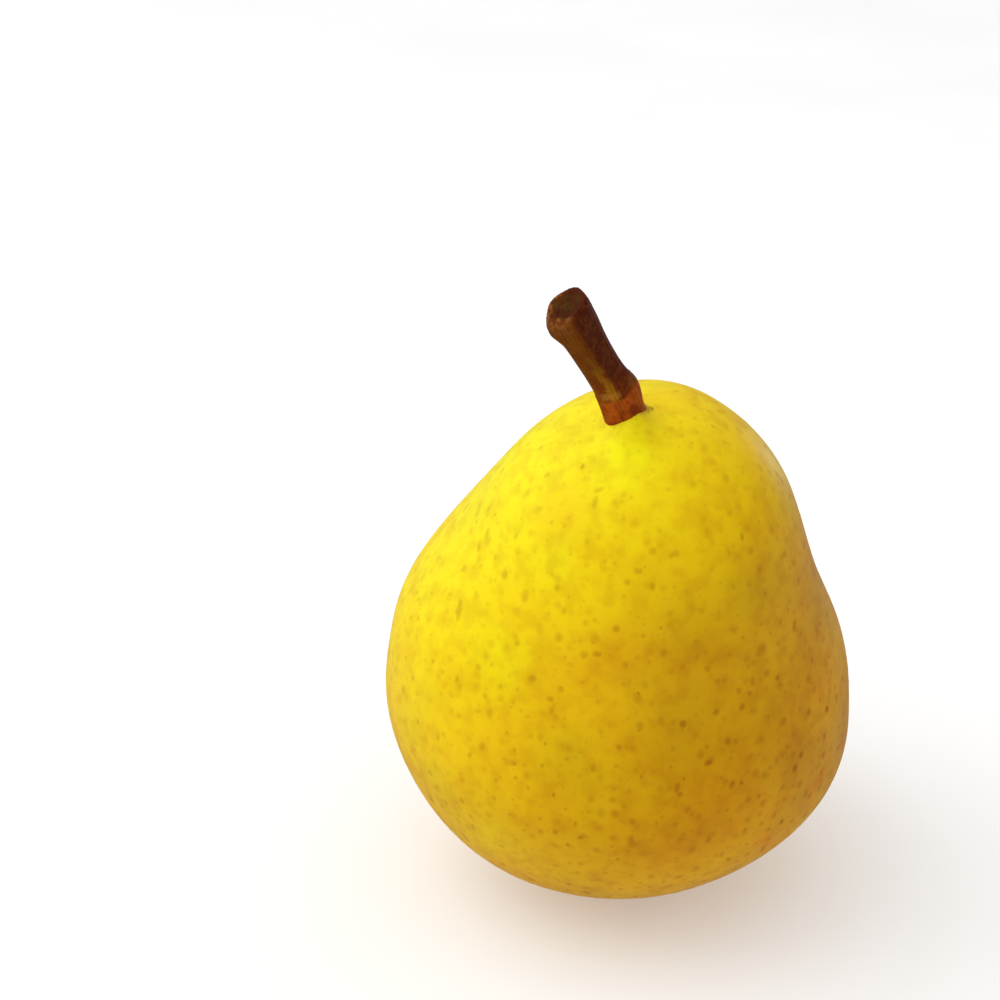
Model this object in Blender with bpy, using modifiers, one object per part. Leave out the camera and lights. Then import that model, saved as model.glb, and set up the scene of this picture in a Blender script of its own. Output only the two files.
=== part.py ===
"""A yellow pear as picked: the fruit, its woody stem and its dried calyx.

The pear rests on a small flat spot just in front of its basin, so its neck leans to the front and a little to
the left. Metres, +Z up. The origin is the middle of the flat spot. Each piece is modelled about the pear's own
upright axis, and an empty gives all of them the lean.
"""

import math

import bmesh
import bpy
import numpy as np
from mathutils import Matrix, Vector

MM = 0.001
GAP = 0.3 * MM
WELD = 0.005 * MM

# Stance: where the foot of the pear's own axis lies from the middle of the flat spot, and how far it leans
AXIS_FOOT = Vector((2.2, 11.5, 2.1)) * MM
LEAN_FRONT = math.radians(13.8)
LEAN_LEFT = math.radians(3.4)

# Fruit: (radius, height) in millimetres from the basin's floor, round the belly, to the top of the neck
FRUIT_HEIGHT = 81.6 * MM
FRUIT_OUTLINE = (
    (0.0, 4.2),
    (3.8, 3.7),
    (7.3, 1.2),
    (10.4, 0.0),
    (16.8, 2.6),
    (23.5, 7.4),
    (30.7, 15.0),
    (34.0, 24.0),
    (34.2, 33.0),
    (31.2, 41.5),
    (27.1, 50.0),
    (24.2, 58.0),
    (20.3, 66.0),
    (15.1, 73.0),
    (8.5, 77.6),
    (2.8, 80.4),
    (0.0, 81.6),
)
FRUIT_ROWS = 56
FRUIT_STEPS = 64

# How far the fruit's centre line swings to the right, in millimetres, at shares of its height
SWING_SHARES = (0.0, 0.35, 0.70, 1.0)
SWING = (0.0, -1.3, 1.4, 1.4)
NECK_BEND_FRONT = 3.1 * MM

# Swells of the skin: share of the height, direction in degrees from the right (90 is the back), push outwards
# in millimetres, reach along the axis as a share of the height, reach round it in degrees
SWELLS = (
    (0.60, 180.0, 4.1, 0.13, 45.0),
    (0.84, 0.0, 1.5, 0.10, 55.0),
    (0.62, 0.0, 0.5, 0.09, 45.0),
    (0.22, 0.0, 2.3, 0.12, 45.0),
    (0.22, 180.0, -1.1, 0.12, 45.0),
)
FULL_RADIUS = 14.0 * MM

# The shoulder stands higher at the right and back of the stem, and the skin dips where the stem comes out
SHOULDER_RISE = 3.3 * MM
SHOULDER_DIRECTION = math.radians(35.0)
SHOULDER_FROM = 0.65
DIMPLE_DEPTH = 1.6 * MM
DIMPLE_REACH = 5.5 * MM

# The flesh swells up against the stem's foot, most at its front right
FLESH_RISE = 2.1 * MM
FLESH_REACH = 2.9 * MM
FLESH_RIGHT = 0.9 * MM
FLESH_FRONT = 3.0 * MM

# Five low lobes round the basin, and shallow unevenness all over
LOBES = 5
LOBE_HEIGHT = 0.45 * MM
LOBE_REACH = 0.10
LOBE_TURN = 0.6
UNEVENNESS = 0.22 * MM
UNEVEN_SIDES = 3
UNEVEN_TWIST = 8.0
UNEVEN_BANDS = 11.0
UNEVEN_START = 1.0
ROUND_SHADING = 40.0

# Stem: (height above the skin, radius, shift to the left) in millimetres, from its foot in the flesh to its cut end
STEM_STATIONS = (
    (-3.0, 2.1, 0.2),
    (-0.6, 2.8, 0.3),
    (1.5, 2.8, 0.2),
    (5.0, 2.6, 0.0),
    (9.5, 2.55, 0.1),
    (13.5, 2.65, 0.25),
    (16.5, 2.85, 0.35),
    (18.8, 3.2, 0.55),
    (20.6, 3.15, 0.5),
    (22.2, 2.6, 0.35),
)
STEM_ROWS = 26
STEM_BEVEL_RESOLUTION = 10
STEM_LEAN_FRONT = math.radians(10.0)
STEM_LEAN_LEFT = math.radians(20.2)
STEM_LENGTH = 21.4 * MM
STEM_CUT_SLANT = math.radians(12.0)
STEM_HOLLOW_RADIUS = 2.9 * MM
STEM_HOLLOW_DEPTH = 0.9 * MM
STEM_HOLLOW_SEGMENTS = 20
STEM_HOLLOW_RINGS = 12
STEM_RIDGES = 5
STEM_RIDGE_HEIGHT = 0.12 * MM
STEM_RIDGE_TWIST = math.radians(50.0)
STEM_RIDGES_FULL = 2.0 * MM
SOCKET_TOP = 4.0

# The knob low on the stem's right side: height, push outwards, reach along the stem, reach round it
KNOB_HEIGHT = 4.6 * MM
KNOB_PUSH = 0.55 * MM
KNOB_REACH = 2.6 * MM
KNOB_SPREAD = math.radians(50.0)

# Calyx: a small cup let into the basin's floor, with five sepals
CALYX_SEAT = 1.4 * MM
CALYX_CUP_OUTLINE = (
    (0.0, -0.1),
    (1.1, 0.0),
    (1.5, 1.3),
    (2.2, 1.5),
    (2.6, 1.0),
    (2.5, 0.0),
    (2.3, -1.4),
    (0.0, -1.4),
)
CALYX_STEPS = 30
SEPALS = 5
SEPAL_LENGTH = 3.6 * MM
SEPAL_WIDTH = 2.1 * MM
SEPAL_TIP_WIDTH = 0.5 * MM
SEPAL_THICKNESS = 0.7 * MM
SEPAL_ROOT = Vector((1.7, 0.0, 0.9)) * MM
SEPAL_RISE = math.radians(60.0)
SEPAL_CURL = math.radians(65.0)
SEPAL_CUP = 0.25 * MM
SEPAL_ROWS = 7
SEPAL_COLUMNS = 4
SEPAL_SHADING = 50.0

# Cutters: how deep the block under the flat spot is, the block that cuts the stem's end, and the calyx seat's sides
GROUND_DEPTH = 20.0 * MM
GROUND_WIDTH = 60.0 * MM
END_BLOCK_SIZE = 12.0 * MM
CALYX_SEAT_SIDES = 32

# Colour, roughness and metallic value of each material
SKIN = ((0.80, 0.62, 0.02), 0.36, 0.0)
BARK = ((0.16, 0.055, 0.022), 0.62, 0.0)
DRY_SEPAL = ((0.10, 0.055, 0.028), 0.85, 0.0)


def clear_scene():
    for thing in list(bpy.data.objects):
        bpy.data.objects.remove(thing, do_unlink=True)


def new_collection(name):
    group = bpy.data.collections.new(name)
    bpy.context.scene.collection.children.link(group)
    return group


def new_material(name, values):
    colour, roughness, metallic = values
    material = bpy.data.materials.new(name)
    material.use_nodes = True
    shader = material.node_tree.nodes["Principled BSDF"]
    shader.inputs["Base Color"].default_value = (*colour, 1.0)
    shader.inputs["Roughness"].default_value = roughness
    shader.inputs["Metallic"].default_value = metallic
    material.diffuse_color = (*colour, 1.0)
    return material


def new_object(name, data, group):
    thing = bpy.data.objects.new(name, data)
    group.objects.link(thing)
    return thing


def spline(knots, values, places):
    """Heights of the smooth natural curve through the knots, at each place."""
    knots = np.asarray(knots, float)
    values = np.asarray(values, float)
    places = np.asarray(places, float)
    span = np.diff(knots)
    slope = np.diff(values) / span
    system = np.eye(len(knots))
    bend = np.zeros(len(knots))
    for i in range(1, len(knots) - 1):
        system[i, i - 1:i + 2] = span[i - 1], 2 * (span[i - 1] + span[i]), span[i]
        bend[i] = 6 * (slope[i] - slope[i - 1])
    bend = np.linalg.solve(system, bend)
    i = np.clip(np.searchsorted(knots, places) - 1, 0, len(span) - 1)
    before = (places - knots[i]) / span[i]
    after = 1 - before
    arch = bend[i] * (after ** 3 - after) + bend[i + 1] * (before ** 3 - before)
    return after * values[i] + before * values[i + 1] + arch * span[i] ** 2 / 6


def smooth_outline(points, rows):
    """Evenly spaced points on a smooth curve that starts and ends square to the axis."""
    points = np.array(points)
    mirror = np.array([-1.0, 1.0])
    points = np.vstack([points[1] * mirror, points, points[-2] * mirror])
    length = np.concatenate([[0.0], np.cumsum(np.hypot(*np.diff(points, axis=0).T))])
    places = np.linspace(length[1], length[-2], rows)
    radius = spline(length, points[:, 0], places)
    radius[0] = radius[-1] = 0.0
    return list(zip(radius, spline(length, points[:, 1], places)))


def turned(name, outline, steps, group):
    """Solid turned about Z from (radius, height) points in millimetres that run from top to bottom."""
    mesh = bpy.data.meshes.new(name)
    points = [(radius * MM, 0.0, height * MM) for radius, height in outline]
    edges = [(i, i + 1) for i in range(len(points) - 1)]
    mesh.from_pydata(points, edges, [])
    thing = new_object(name, mesh, group)
    screw = thing.modifiers.new("turn", "SCREW")
    screw.axis = "Z"
    screw.steps = steps
    screw.render_steps = steps
    screw.use_merge_vertices = True
    screw.merge_threshold = WELD
    return made_mesh(thing, group)


def made_mesh(thing, group):
    """Replaces an object by the plain mesh of what it shows, with its doubles welded."""
    bpy.context.view_layer.update()
    graph = bpy.context.evaluated_depsgraph_get()
    mesh = bpy.data.meshes.new_from_object(thing.evaluated_get(graph))
    name = thing.name
    place = thing.matrix_world.copy()
    bpy.data.objects.remove(thing, do_unlink=True)
    shape = bmesh.new()
    shape.from_mesh(mesh)
    bmesh.ops.remove_doubles(shape, verts=shape.verts, dist=WELD)
    shape.to_mesh(mesh)
    shape.free()
    made = new_object(name, mesh, group)
    made.matrix_world = place
    return made


def vertex_array(mesh):
    flat = np.empty(len(mesh.vertices) * 3)
    mesh.vertices.foreach_get("co", flat)
    return flat.reshape(-1, 3)


def move_vertices(mesh, places):
    mesh.vertices.foreach_set("co", places.ravel())
    mesh.update()


def make_cutter(thing):
    thing.display_type = "WIRE"
    thing.hide_render = True
    return thing


def boolean(thing, other, operation):
    step = thing.modifiers.new(operation.lower(), "BOOLEAN")
    step.operation = operation
    step.solver = "EXACT"
    step.object = other


def shade_round(mesh, sharp_degrees):
    mesh.shade_smooth()
    mesh.set_sharp_from_angle(angle=math.radians(sharp_degrees))


def bell(distance, reach):
    return np.exp(-(distance / reach) ** 2)


def turn_between(angle, direction):
    """Smallest turn from a direction to an angle, in radians."""
    return (angle - direction + math.pi) % (2 * math.pi) - math.pi


def grown_skin(places):
    """Moves the points of the turned pear to where the real, lopsided one has grown."""
    x, y, z = places.T
    radius = np.hypot(x, y)
    angle = np.arctan2(y, x)
    share = z / FRUIT_HEIGHT
    fullness = np.clip(radius / FULL_RADIUS, 0.0, 1.0)
    swell = np.zeros(len(places))
    for height, direction, push, reach, spread in SWELLS:
        turn = turn_between(angle, math.radians(direction))
        swell += push * MM * bell(share - height, reach) * bell(turn, math.radians(spread))
    swell += LOBE_HEIGHT * bell(share, LOBE_REACH) * np.cos(LOBES * angle + LOBE_TURN)
    waves = np.sin(UNEVEN_SIDES * angle + UNEVEN_TWIST * share)
    swell += UNEVENNESS * waves * np.sin(UNEVEN_BANDS * share + UNEVEN_START)
    radius = radius + swell * fullness
    swing = spline(SWING_SHARES, SWING, share) * MM
    bend = NECK_BEND_FRONT * share ** 2
    neck = np.clip((share - SHOULDER_FROM) / (1 - SHOULDER_FROM), 0.0, 1.0) ** 2
    x = radius * np.cos(angle)
    y = radius * np.sin(angle)
    rise = SHOULDER_RISE * neck * np.cos(angle - SHOULDER_DIRECTION) * fullness
    top_swing = SWING[-1] * MM
    right = x + swing - top_swing
    back = y - bend + NECK_BEND_FRONT
    dip = DIMPLE_DEPTH * bell(np.hypot(right, back), DIMPLE_REACH)
    flesh = FLESH_RISE * bell(np.hypot(right - FLESH_RIGHT, back + FLESH_FRONT), FLESH_REACH)
    return np.stack([x + swing, y - bend, z + rise + neck * (flesh - dip)], axis=1)


def stem_foot():
    """The point of the skin where the stem's axis comes out, in the pear's own frame."""
    return Vector((SWING[-1] * MM, -NECK_BEND_FRONT, FRUIT_HEIGHT - DIMPLE_DEPTH))


def basin_floor():
    return Vector((0.0, 0.0, FRUIT_OUTLINE[0][1] * MM))


def make_fruit(group, material):
    outline = smooth_outline(FRUIT_OUTLINE, FRUIT_ROWS)
    fruit = turned("fruit", outline[::-1], FRUIT_STEPS, group)
    fruit.data.materials.append(material)
    move_vertices(fruit.data, grown_skin(vertex_array(fruit.data)))
    shade_round(fruit.data, ROUND_SHADING)
    return fruit


def make_flat_spot_cutter(group):
    """Block whose top face is the surface that the pear rests on."""
    bpy.ops.mesh.primitive_cube_add(size=1.0)
    cutter = bpy.context.object
    cutter.name = "flat_spot_cutter"
    cutter.scale = (GROUND_WIDTH, GROUND_WIDTH, GROUND_DEPTH)
    cutter.location = (0.0, 0.0, -GROUND_DEPTH / 2)
    move_to(cutter, group)
    return make_cutter(cutter)


def move_to(thing, group):
    for owner in list(thing.users_collection):
        owner.objects.unlink(thing)
    group.objects.link(thing)


def stem_rod(name, group, grow, top):
    """Rod through the stem's stations, up to a height, with its radius grown by a margin."""
    stations = np.array(STEM_STATIONS)
    heights = np.linspace(stations[0, 0], top, STEM_ROWS)
    radii = spline(stations[:, 0], stations[:, 1], heights)
    shifts = spline(stations[:, 0], stations[:, 2], heights)
    curve = bpy.data.curves.new(name, "CURVE")
    curve.dimensions = "3D"
    curve.bevel_depth = MM
    curve.bevel_resolution = STEM_BEVEL_RESOLUTION
    curve.use_fill_caps = True
    line = curve.splines.new("POLY")
    line.points.add(STEM_ROWS - 1)
    for point, height, radius, shift in zip(line.points, heights, radii, shifts):
        point.co = (-shift * MM, 0.0, height * MM, 1.0)
        point.radius = radius + grow / MM
    return made_mesh(new_object(name, curve, group), group)


def grown_bark(places):
    """Raises the low ridges and the knob near the foot, on the stem or on the socket that follows it."""
    x, y, z = places.T
    radius = np.hypot(x, y)
    angle = np.arctan2(y, x)
    above = np.clip(z / STEM_RIDGES_FULL, 0.0, 1.0)
    along = z / STEM_LENGTH
    ridges = STEM_RIDGE_HEIGHT * np.cos(STEM_RIDGES * angle + STEM_RIDGE_TWIST * along)
    knob = KNOB_PUSH * bell(z - KNOB_HEIGHT, KNOB_REACH) * bell(angle, KNOB_SPREAD)
    grown = 1 + above * (ridges + knob) / np.maximum(radius, MM)
    return np.stack([x * grown, y * grown, z], axis=1)


def make_stem(group, cutters, material):
    stem = stem_rod("stem", group, 0.0, STEM_STATIONS[-1][0])
    stem.data.materials.append(material)
    move_vertices(stem.data, grown_bark(vertex_array(stem.data)))
    end_block = make_end_block(cutters)
    hollow = make_end_hollow(cutters)
    for cutter in (end_block, hollow):
        cutter.parent = stem
        boolean(stem, cutter, "DIFFERENCE")
    shade_round(stem.data, ROUND_SHADING)
    stem.location = stem_foot()
    stem.rotation_euler = (STEM_LEAN_FRONT, -STEM_LEAN_LEFT, 0.0)
    return stem


def make_end_block(group):
    """Block that cuts the stem's end off on a slant."""
    bpy.ops.mesh.primitive_cube_add(size=END_BLOCK_SIZE)
    block = bpy.context.object
    block.name = "stem_end_block"
    block.rotation_euler = (0.0, -STEM_CUT_SLANT, 0.0)
    above_cut = Vector((0.0, 0.0, END_BLOCK_SIZE / 2))
    block.location = Vector((0.0, 0.0, STEM_LENGTH)) + block.rotation_euler.to_matrix() @ above_cut
    move_to(block, group)
    return make_cutter(block)


def make_end_hollow(group):
    """Ball that leaves a shallow hollow in the cut end."""
    bpy.ops.mesh.primitive_uv_sphere_add(
        segments=STEM_HOLLOW_SEGMENTS, ring_count=STEM_HOLLOW_RINGS, radius=STEM_HOLLOW_RADIUS)
    ball = bpy.context.object
    ball.name = "stem_end_hollow"
    ball.data.shade_smooth()
    middle = -STEM_STATIONS[-2][2] * MM
    ball.location = (middle, 0.0, STEM_LENGTH + STEM_HOLLOW_RADIUS - STEM_HOLLOW_DEPTH)
    move_to(ball, group)
    return make_cutter(ball)


def make_stem_socket(group, stem):
    """Hole for the stem's foot, a gap wider all round."""
    socket = stem_rod("stem_socket", group, GAP, SOCKET_TOP)
    places = vertex_array(socket.data)
    places[:, 2] -= GAP * np.clip(places[:, 2] / (STEM_STATIONS[0][0] * MM), 0.0, 1.0)
    move_vertices(socket.data, grown_bark(places))
    socket.location = stem.location
    socket.rotation_euler = stem.rotation_euler
    return make_cutter(socket)


def sepal_surface(across, along):
    """Point of a sepal's middle surface: across runs from -1 to 1, along from root 0 to tip 1."""
    width = SEPAL_WIDTH * (1 - along ** 1.5) + SEPAL_TIP_WIDTH * along
    reach = SEPAL_LENGTH / SEPAL_CURL
    angle = SEPAL_RISE - SEPAL_CURL * along
    out = reach * (math.sin(SEPAL_RISE) - math.sin(angle))
    up = reach * (math.cos(angle) - math.cos(SEPAL_RISE))
    cupped = SEPAL_CUP * across ** 2
    return SEPAL_ROOT + Vector((out, across * width / 2, up + cupped))


def make_sepal(index, group):
    name = f"sepal_{index}"
    mesh = bpy.data.meshes.new(name)
    shape = bmesh.new()
    bmesh.ops.create_grid(shape, x_segments=SEPAL_ROWS, y_segments=SEPAL_COLUMNS, size=1.0)
    for vertex in shape.verts:
        vertex.co = sepal_surface(vertex.co.y, (vertex.co.x + 1) / 2)
    turn = 2 * math.pi * index / SEPALS
    bmesh.ops.rotate(shape, verts=shape.verts, matrix=Matrix.Rotation(turn, 3, "Z"))
    shape.to_mesh(mesh)
    shape.free()
    sepal = new_object(name, mesh, group)
    wall = sepal.modifiers.new("thickness", "SOLIDIFY")
    wall.thickness = SEPAL_THICKNESS
    wall.offset = 0.0
    return made_mesh(sepal, group)


def make_calyx(group, cutters, material):
    calyx = turned("calyx", CALYX_CUP_OUTLINE, CALYX_STEPS, group)
    calyx.data.materials.append(material)
    sepals = [make_sepal(i, cutters) for i in range(SEPALS)]
    for sepal in sepals:
        boolean(calyx, sepal, "UNION")
    calyx = made_mesh(calyx, group)
    for sepal in sepals:
        bpy.data.objects.remove(sepal, do_unlink=True)
    shade_round(calyx.data, SEPAL_SHADING)
    calyx.location = basin_floor()
    calyx.rotation_euler = (math.pi, 0.0, 0.0)
    return calyx


def make_calyx_seat(group, calyx):
    """Round hole in the basin's floor that the calyx cup stands in."""
    widest = max(radius for radius, height in CALYX_CUP_OUTLINE) * MM
    depth = CALYX_SEAT + GAP
    bpy.ops.mesh.primitive_cylinder_add(vertices=CALYX_SEAT_SIDES, radius=widest + GAP, depth=2 * depth)
    seat = bpy.context.object
    seat.name = "calyx_seat"
    seat.location = calyx.location
    move_to(seat, group)
    return make_cutter(seat)


def main():
    clear_scene()
    pear = new_collection("pear")
    cutters = new_collection("cutters")
    lean = bpy.data.objects.new("pear_axis", None)
    pear.objects.link(lean)
    lean.location = AXIS_FOOT
    lean.rotation_euler = (LEAN_FRONT, -LEAN_LEFT, 0.0)
    fruit = make_fruit(pear, new_material("skin", SKIN))
    stem = make_stem(pear, cutters, new_material("bark", BARK))
    calyx = make_calyx(pear, cutters, new_material("dry_sepal", DRY_SEPAL))
    stem_socket = make_stem_socket(cutters, stem)
    calyx_seat = make_calyx_seat(cutters, calyx)
    for thing in (fruit, stem, calyx, stem_socket, calyx_seat):
        thing.parent = lean
    for cutter in (stem_socket, calyx_seat, make_flat_spot_cutter(cutters)):
        boolean(fruit, cutter, "DIFFERENCE")


main()
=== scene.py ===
"""The looks of a ripe yellow pear: waxy skin with corky pores, woody stem, dried calyx.

Metres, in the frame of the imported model: the pear rests on its flat spot and leans to the front.
"""

import math

import bpy
import numpy as np
from mathutils import Matrix, Vector
from mathutils.bvhtree import BVHTree


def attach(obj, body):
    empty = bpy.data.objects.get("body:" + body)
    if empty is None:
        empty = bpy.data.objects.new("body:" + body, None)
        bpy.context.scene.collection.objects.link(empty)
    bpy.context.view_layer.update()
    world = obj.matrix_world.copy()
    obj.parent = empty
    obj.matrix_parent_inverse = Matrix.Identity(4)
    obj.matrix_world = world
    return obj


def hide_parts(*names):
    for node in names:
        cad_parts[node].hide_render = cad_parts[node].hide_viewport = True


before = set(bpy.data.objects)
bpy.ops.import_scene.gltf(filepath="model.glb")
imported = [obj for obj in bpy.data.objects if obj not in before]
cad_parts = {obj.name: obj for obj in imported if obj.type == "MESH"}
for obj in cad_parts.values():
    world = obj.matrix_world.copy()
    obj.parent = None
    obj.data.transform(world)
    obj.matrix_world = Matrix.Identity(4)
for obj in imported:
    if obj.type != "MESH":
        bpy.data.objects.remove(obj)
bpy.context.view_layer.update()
MM = 0.001

# Camera
CAMERA_PLACE = Vector((-17.95, -261.8, 174.5)) * MM
CAMERA_DOWN = math.radians(23.34)
PICTURE_SIDE = 1000
LENS = 72.0
SENSOR = 36.0

# Light: the side it comes from, the big lamp, the low one at the back right, the room round them, the paper
# floor, and how much of the room and the floor shows as light on the skin and as a mirror image in it
LIGHT_SIDE = (-0.62, 0.05, 0.78)
KEY_DISTANCE = 1.3
KEY_SIZE = 1.1
KEY_POWER = 4.6
EDGE_LAMP_PLACE = Vector((0.30, 0.36, 0.07))
EDGE_LAMP_SIZE = 0.11
EDGE_LAMP_POWER = 0.15
ROOM_LIGHT = 0.63
ROOM_SLOPE = 0.58
ROOM_MIRRORED = 0.35
FLOOR_SIDE = 6.0
FLOOR_CLOUD = (0.12, 0.3, 0.7)
FLOOR_ROUGHNESS = (0.1, 0.7)
FLOOR_PAPER = ((0.69, 0.69, 0.69), (0.71, 0.71, 0.705))
FLOOR_BOUNCE = (0.52, 0.53, 0.52)
FLOOR_MIRRORED = (0.05, 0.05, 0.05)
FLOOR_GLOW = 0.28

# Stance of the pear: foot of its own axis, and how far it leans
AXIS_FOOT = Vector((2.2, 11.5, 2.1)) * MM
LEAN_FRONT = math.radians(13.8)
LEAN_LEFT = math.radians(3.4)

# Fruit: (radius, height) in millimetres from the basin's floor, round the belly, to the top of the neck
FRUIT_HEIGHT = 81.6 * MM
FRUIT_OUTLINE = (
    (0.0, 4.2),
    (3.8, 3.7),
    (7.3, 1.2),
    (10.4, 0.0),
    (16.8, 2.6),
    (23.5, 7.4),
    (30.7, 15.0),
    (34.0, 24.0),
    (34.2, 33.0),
    (31.2, 41.5),
    (27.1, 50.0),
    (24.2, 58.0),
    (20.3, 66.0),
    (15.1, 73.0),
    (8.5, 77.6),
    (2.8, 80.4),
    (0.0, 81.6),
)
SKIN_ROWS = 240
SKIN_STEPS = 300
SWING_SHARES = (0.0, 0.35, 0.70, 1.0)
SWING = (0.0, -1.3, 1.4, 1.4)
NECK_BEND_FRONT = 3.1 * MM

# Swells: share of the height, direction in degrees, push in millimetres, reach along the axis and round it
SWELLS = (
    (0.60, 180.0, 4.1, 0.13, 45.0),
    (0.84, 0.0, 1.5, 0.10, 55.0),
    (0.62, 0.0, 0.5, 0.09, 45.0),
    (0.22, 0.0, 2.3, 0.12, 45.0),
    (0.22, 180.0, -1.1, 0.12, 45.0),
)
FULL_RADIUS = 14.0 * MM
SHOULDER_RISE = 3.3 * MM
SHOULDER_DIRECTION = math.radians(35.0)
SHOULDER_FROM = 0.65
DIMPLE_DEPTH = 1.6 * MM
DIMPLE_REACH = 5.5 * MM
# The flesh swells up against the stem's foot, most at its front
FLESH_RISE = 2.5 * MM
FLESH_REACH = 3.1 * MM
FLESH_RIGHT = 0.3 * MM
FLESH_FRONT = 2.7 * MM
LOBES = 5
LOBE_HEIGHT = 0.45 * MM
LOBE_REACH = 0.10
LOBE_TURN = 0.6
UNEVENNESS = 0.22 * MM

# Colour of the skin, riper on its sunny side and also painted lighter towards the lamp and darker away from
# it as painted shade: which side is lit and sunny, how far the change reaches, and its colours from shade to
# sun
PEAR_MIDDLE = (0.0, 0.0025, 0.036)
LIT_AND_SUNNY_SIDE = (-0.68, -0.18, 0.71)
LIT_AND_RIPE_FROM = -24.0 * MM
LIT_AND_RIPE_TO = 37.0 * MM
SKIN_AND_SHADE_RAMP = (
    (0.0, (0.68, 0.318, 0.002)),
    (0.13, (0.73, 0.368, 0.002)),
    (0.26, (0.65, 0.307, 0.002)),
    (0.38, (0.70, 0.368, 0.002)),
    (0.50, (0.75, 0.430, 0.002)),
    (0.70, (0.86, 0.567, 0.003)),
    (0.85, (0.92, 0.695, 0.004)),
    (1.0, (0.91, 0.805, 0.008)),
)

# Painted light from the floor: the skin is painted lighter and yellower low down
LOW_BOUNCE_FROM = 24.0 * MM
LOW_BOUNCE_FULL = 15.0 * MM
LOW_BOUNCE_COLOUR = (0.97, 0.60, 0.002)
LOW_BOUNCE_SHARE = 0.4

# Clouds that shift the skin's colour, each with its middle and reach in millimetres and its shade: the front
# ones and the right waist are painted shade, the brow is a painted highlight, and the others make the skin
# darker, more orange and more lemon in places
CLOUDS = {
    "upper front shade": ((5.9, -27.0, 51.2), 14.0, (0.88, 0.80, 1.0)),
    "lower front shade": ((6.3, -28.2, 38.6), 11.0, (0.87, 0.84, 1.0)),
    "right cheek": ((23.9, -19.9, 31.2), 9.0, (0.85, 0.76, 1.0)),
    "right waist shade": ((16.9, -20.7, 57.6), 9.0, (0.87, 0.87, 1.0)),
    "left belly": ((-9.8, -27.9, 34.7), 8.0, (0.89, 0.89, 1.0)),
    "rubbed neck": ((-9.9, -19.0, 67.4), 7.0, (0.98, 0.86, 1.0)),
    "brow highlight": ((-1.5, -16.5, 74.4), 7.0, (1.08, 1.22, 1.0)),
    "left flank": ((-18.4, -21.4, 45.8), 10.0, (1.00, 1.17, 1.0)),
    "lower left": ((-19.6, -22.2, 19.5), 9.0, (1.03, 1.22, 1.0)),
}

# Tints all over: size of their patches in millimetres, from where to where they grow in the noise, share,
# shade, shift of the noise in metres, and how fine it gets
TINTS = (
    (24.0, 0.45, 0.68, 0.75, (1.00, 0.90, 0.80), (0.0, 0.0, 0.0), 3.0),
    (15.0, 0.50, 0.72, 0.50, (0.86, 0.97, 1.20), (0.3, 0.1, 0.2), 3.0),
    (7.0, 0.45, 0.72, 0.55, (0.93, 0.84, 0.80), (0.7, 0.4, 0.1), 3.0),
    (2.6, 0.38, 0.72, 0.90, (0.90, 0.82, 0.80), (0.2, 0.8, 0.5), 2.0),
)
ROSY_TINT = (7.0, 0.56, 0.72, 0.7, (1.05, 0.84, 0.70), (0.9, 0.3, 0.6), 3.0)
ROSY_FROM = 0.65

# Painted pores: spacing in millimetres, radius as a share of it, share of the places that have one, and
# shift in metres
PORES = (1.9, 0.46, 0.75, (0.0, 0.0, 0.0))
GRAIN = (0.9, 0.42, 0.60, (0.5, 0.2, 0.4))
BROAD_PORES = (3.6, 0.24, 0.60, (0.1, 0.6, 0.8))
PORE_SOFTNESS = 0.9
SMALLEST_DOT = 0.5
DOT_SPREAD = 0.8
FAINTEST_DOT = 0.3
PORE_SHADE = (0.77, 0.58, 0.50)
CORK_SHADE = (0.72, 0.45, 0.45)
GRAIN_SHARE = 0.42
PORES_IN_SUN = 0.40
CORK_IN_SUN = 0.60

# Russet ring round the stem
RUSSET_REACH = 3.3 * MM
RUSSET_FADE = 0.7 * MM
RUSSET_WANDER = 1.6 * MM
RUSSET_NOISE = 500.0
RUSSET_SHADE = (0.30, 0.13, 0.012)
RUSSET_SHARE = 0.35

# Wax and flesh: gloss, its tint, roughness, the light that goes through the flesh, and the peel's grain
WAX_GLOSS = 0.14
WAX_TINT = (1.0, 0.90, 0.45, 1.0)
WAX_ROUGHNESS = 0.38
WAX_UNEVENNESS = 0.12
WAX_NOISE = 220.0
PORE_ROUGHNESS = 0.08
FLESH_GLOW = 0.10
FLESH_GLOW_COLOUR = (1.0, 0.6, 0.1)
FLESH_GLOW_REACH = 1.5 * MM
PEEL_DEPTH = 0.2 * MM
PEEL_STRENGTH = 0.22
PEEL_NOISE = 900.0
PEEL_GRAIN = 0.6
PEEL_PITS = 0.4

# Fine relief of the skin
SKIN_INSET = 0.10 * MM
WAVE_HEIGHT = 0.10 * MM
WAVE_SIZE = 9.0 * MM
RIPPLE_HEIGHT = 0.035 * MM
RIPPLE_SIZE = 2.6 * MM

# Raised corky pores, scattered all over
PORE_SPACING = 2.2 * MM
PORE_DENSITY = 2.0e5
PORE_SMALLEST = 0.36 * MM
PORE_LARGEST = 0.90 * MM
PORE_RISE = 0.04 * MM
PORE_SIDES = 14
PORE_SEED = 11
PORE_LOWEST = 1.2 * MM
PORE_SINK = 0.012 * MM
PORE_STRETCH = 1.6
DOME_TOP = 0.12
DOME_ROWS = 3
RANDOM_BIAS = 2.2
THINNEST_SHARE = 0.4
PORE_STRENGTH = (0.2, 0.8)
CALYX_CLEAR = 7.0 * MM
THICKEST_BELOW = 15.0 * MM
THINNEST_ABOVE = 80.0 * MM

# How much wider than its dark middle a mark's soft edge reaches
MARK_SOFTNESS = 1.5

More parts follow.
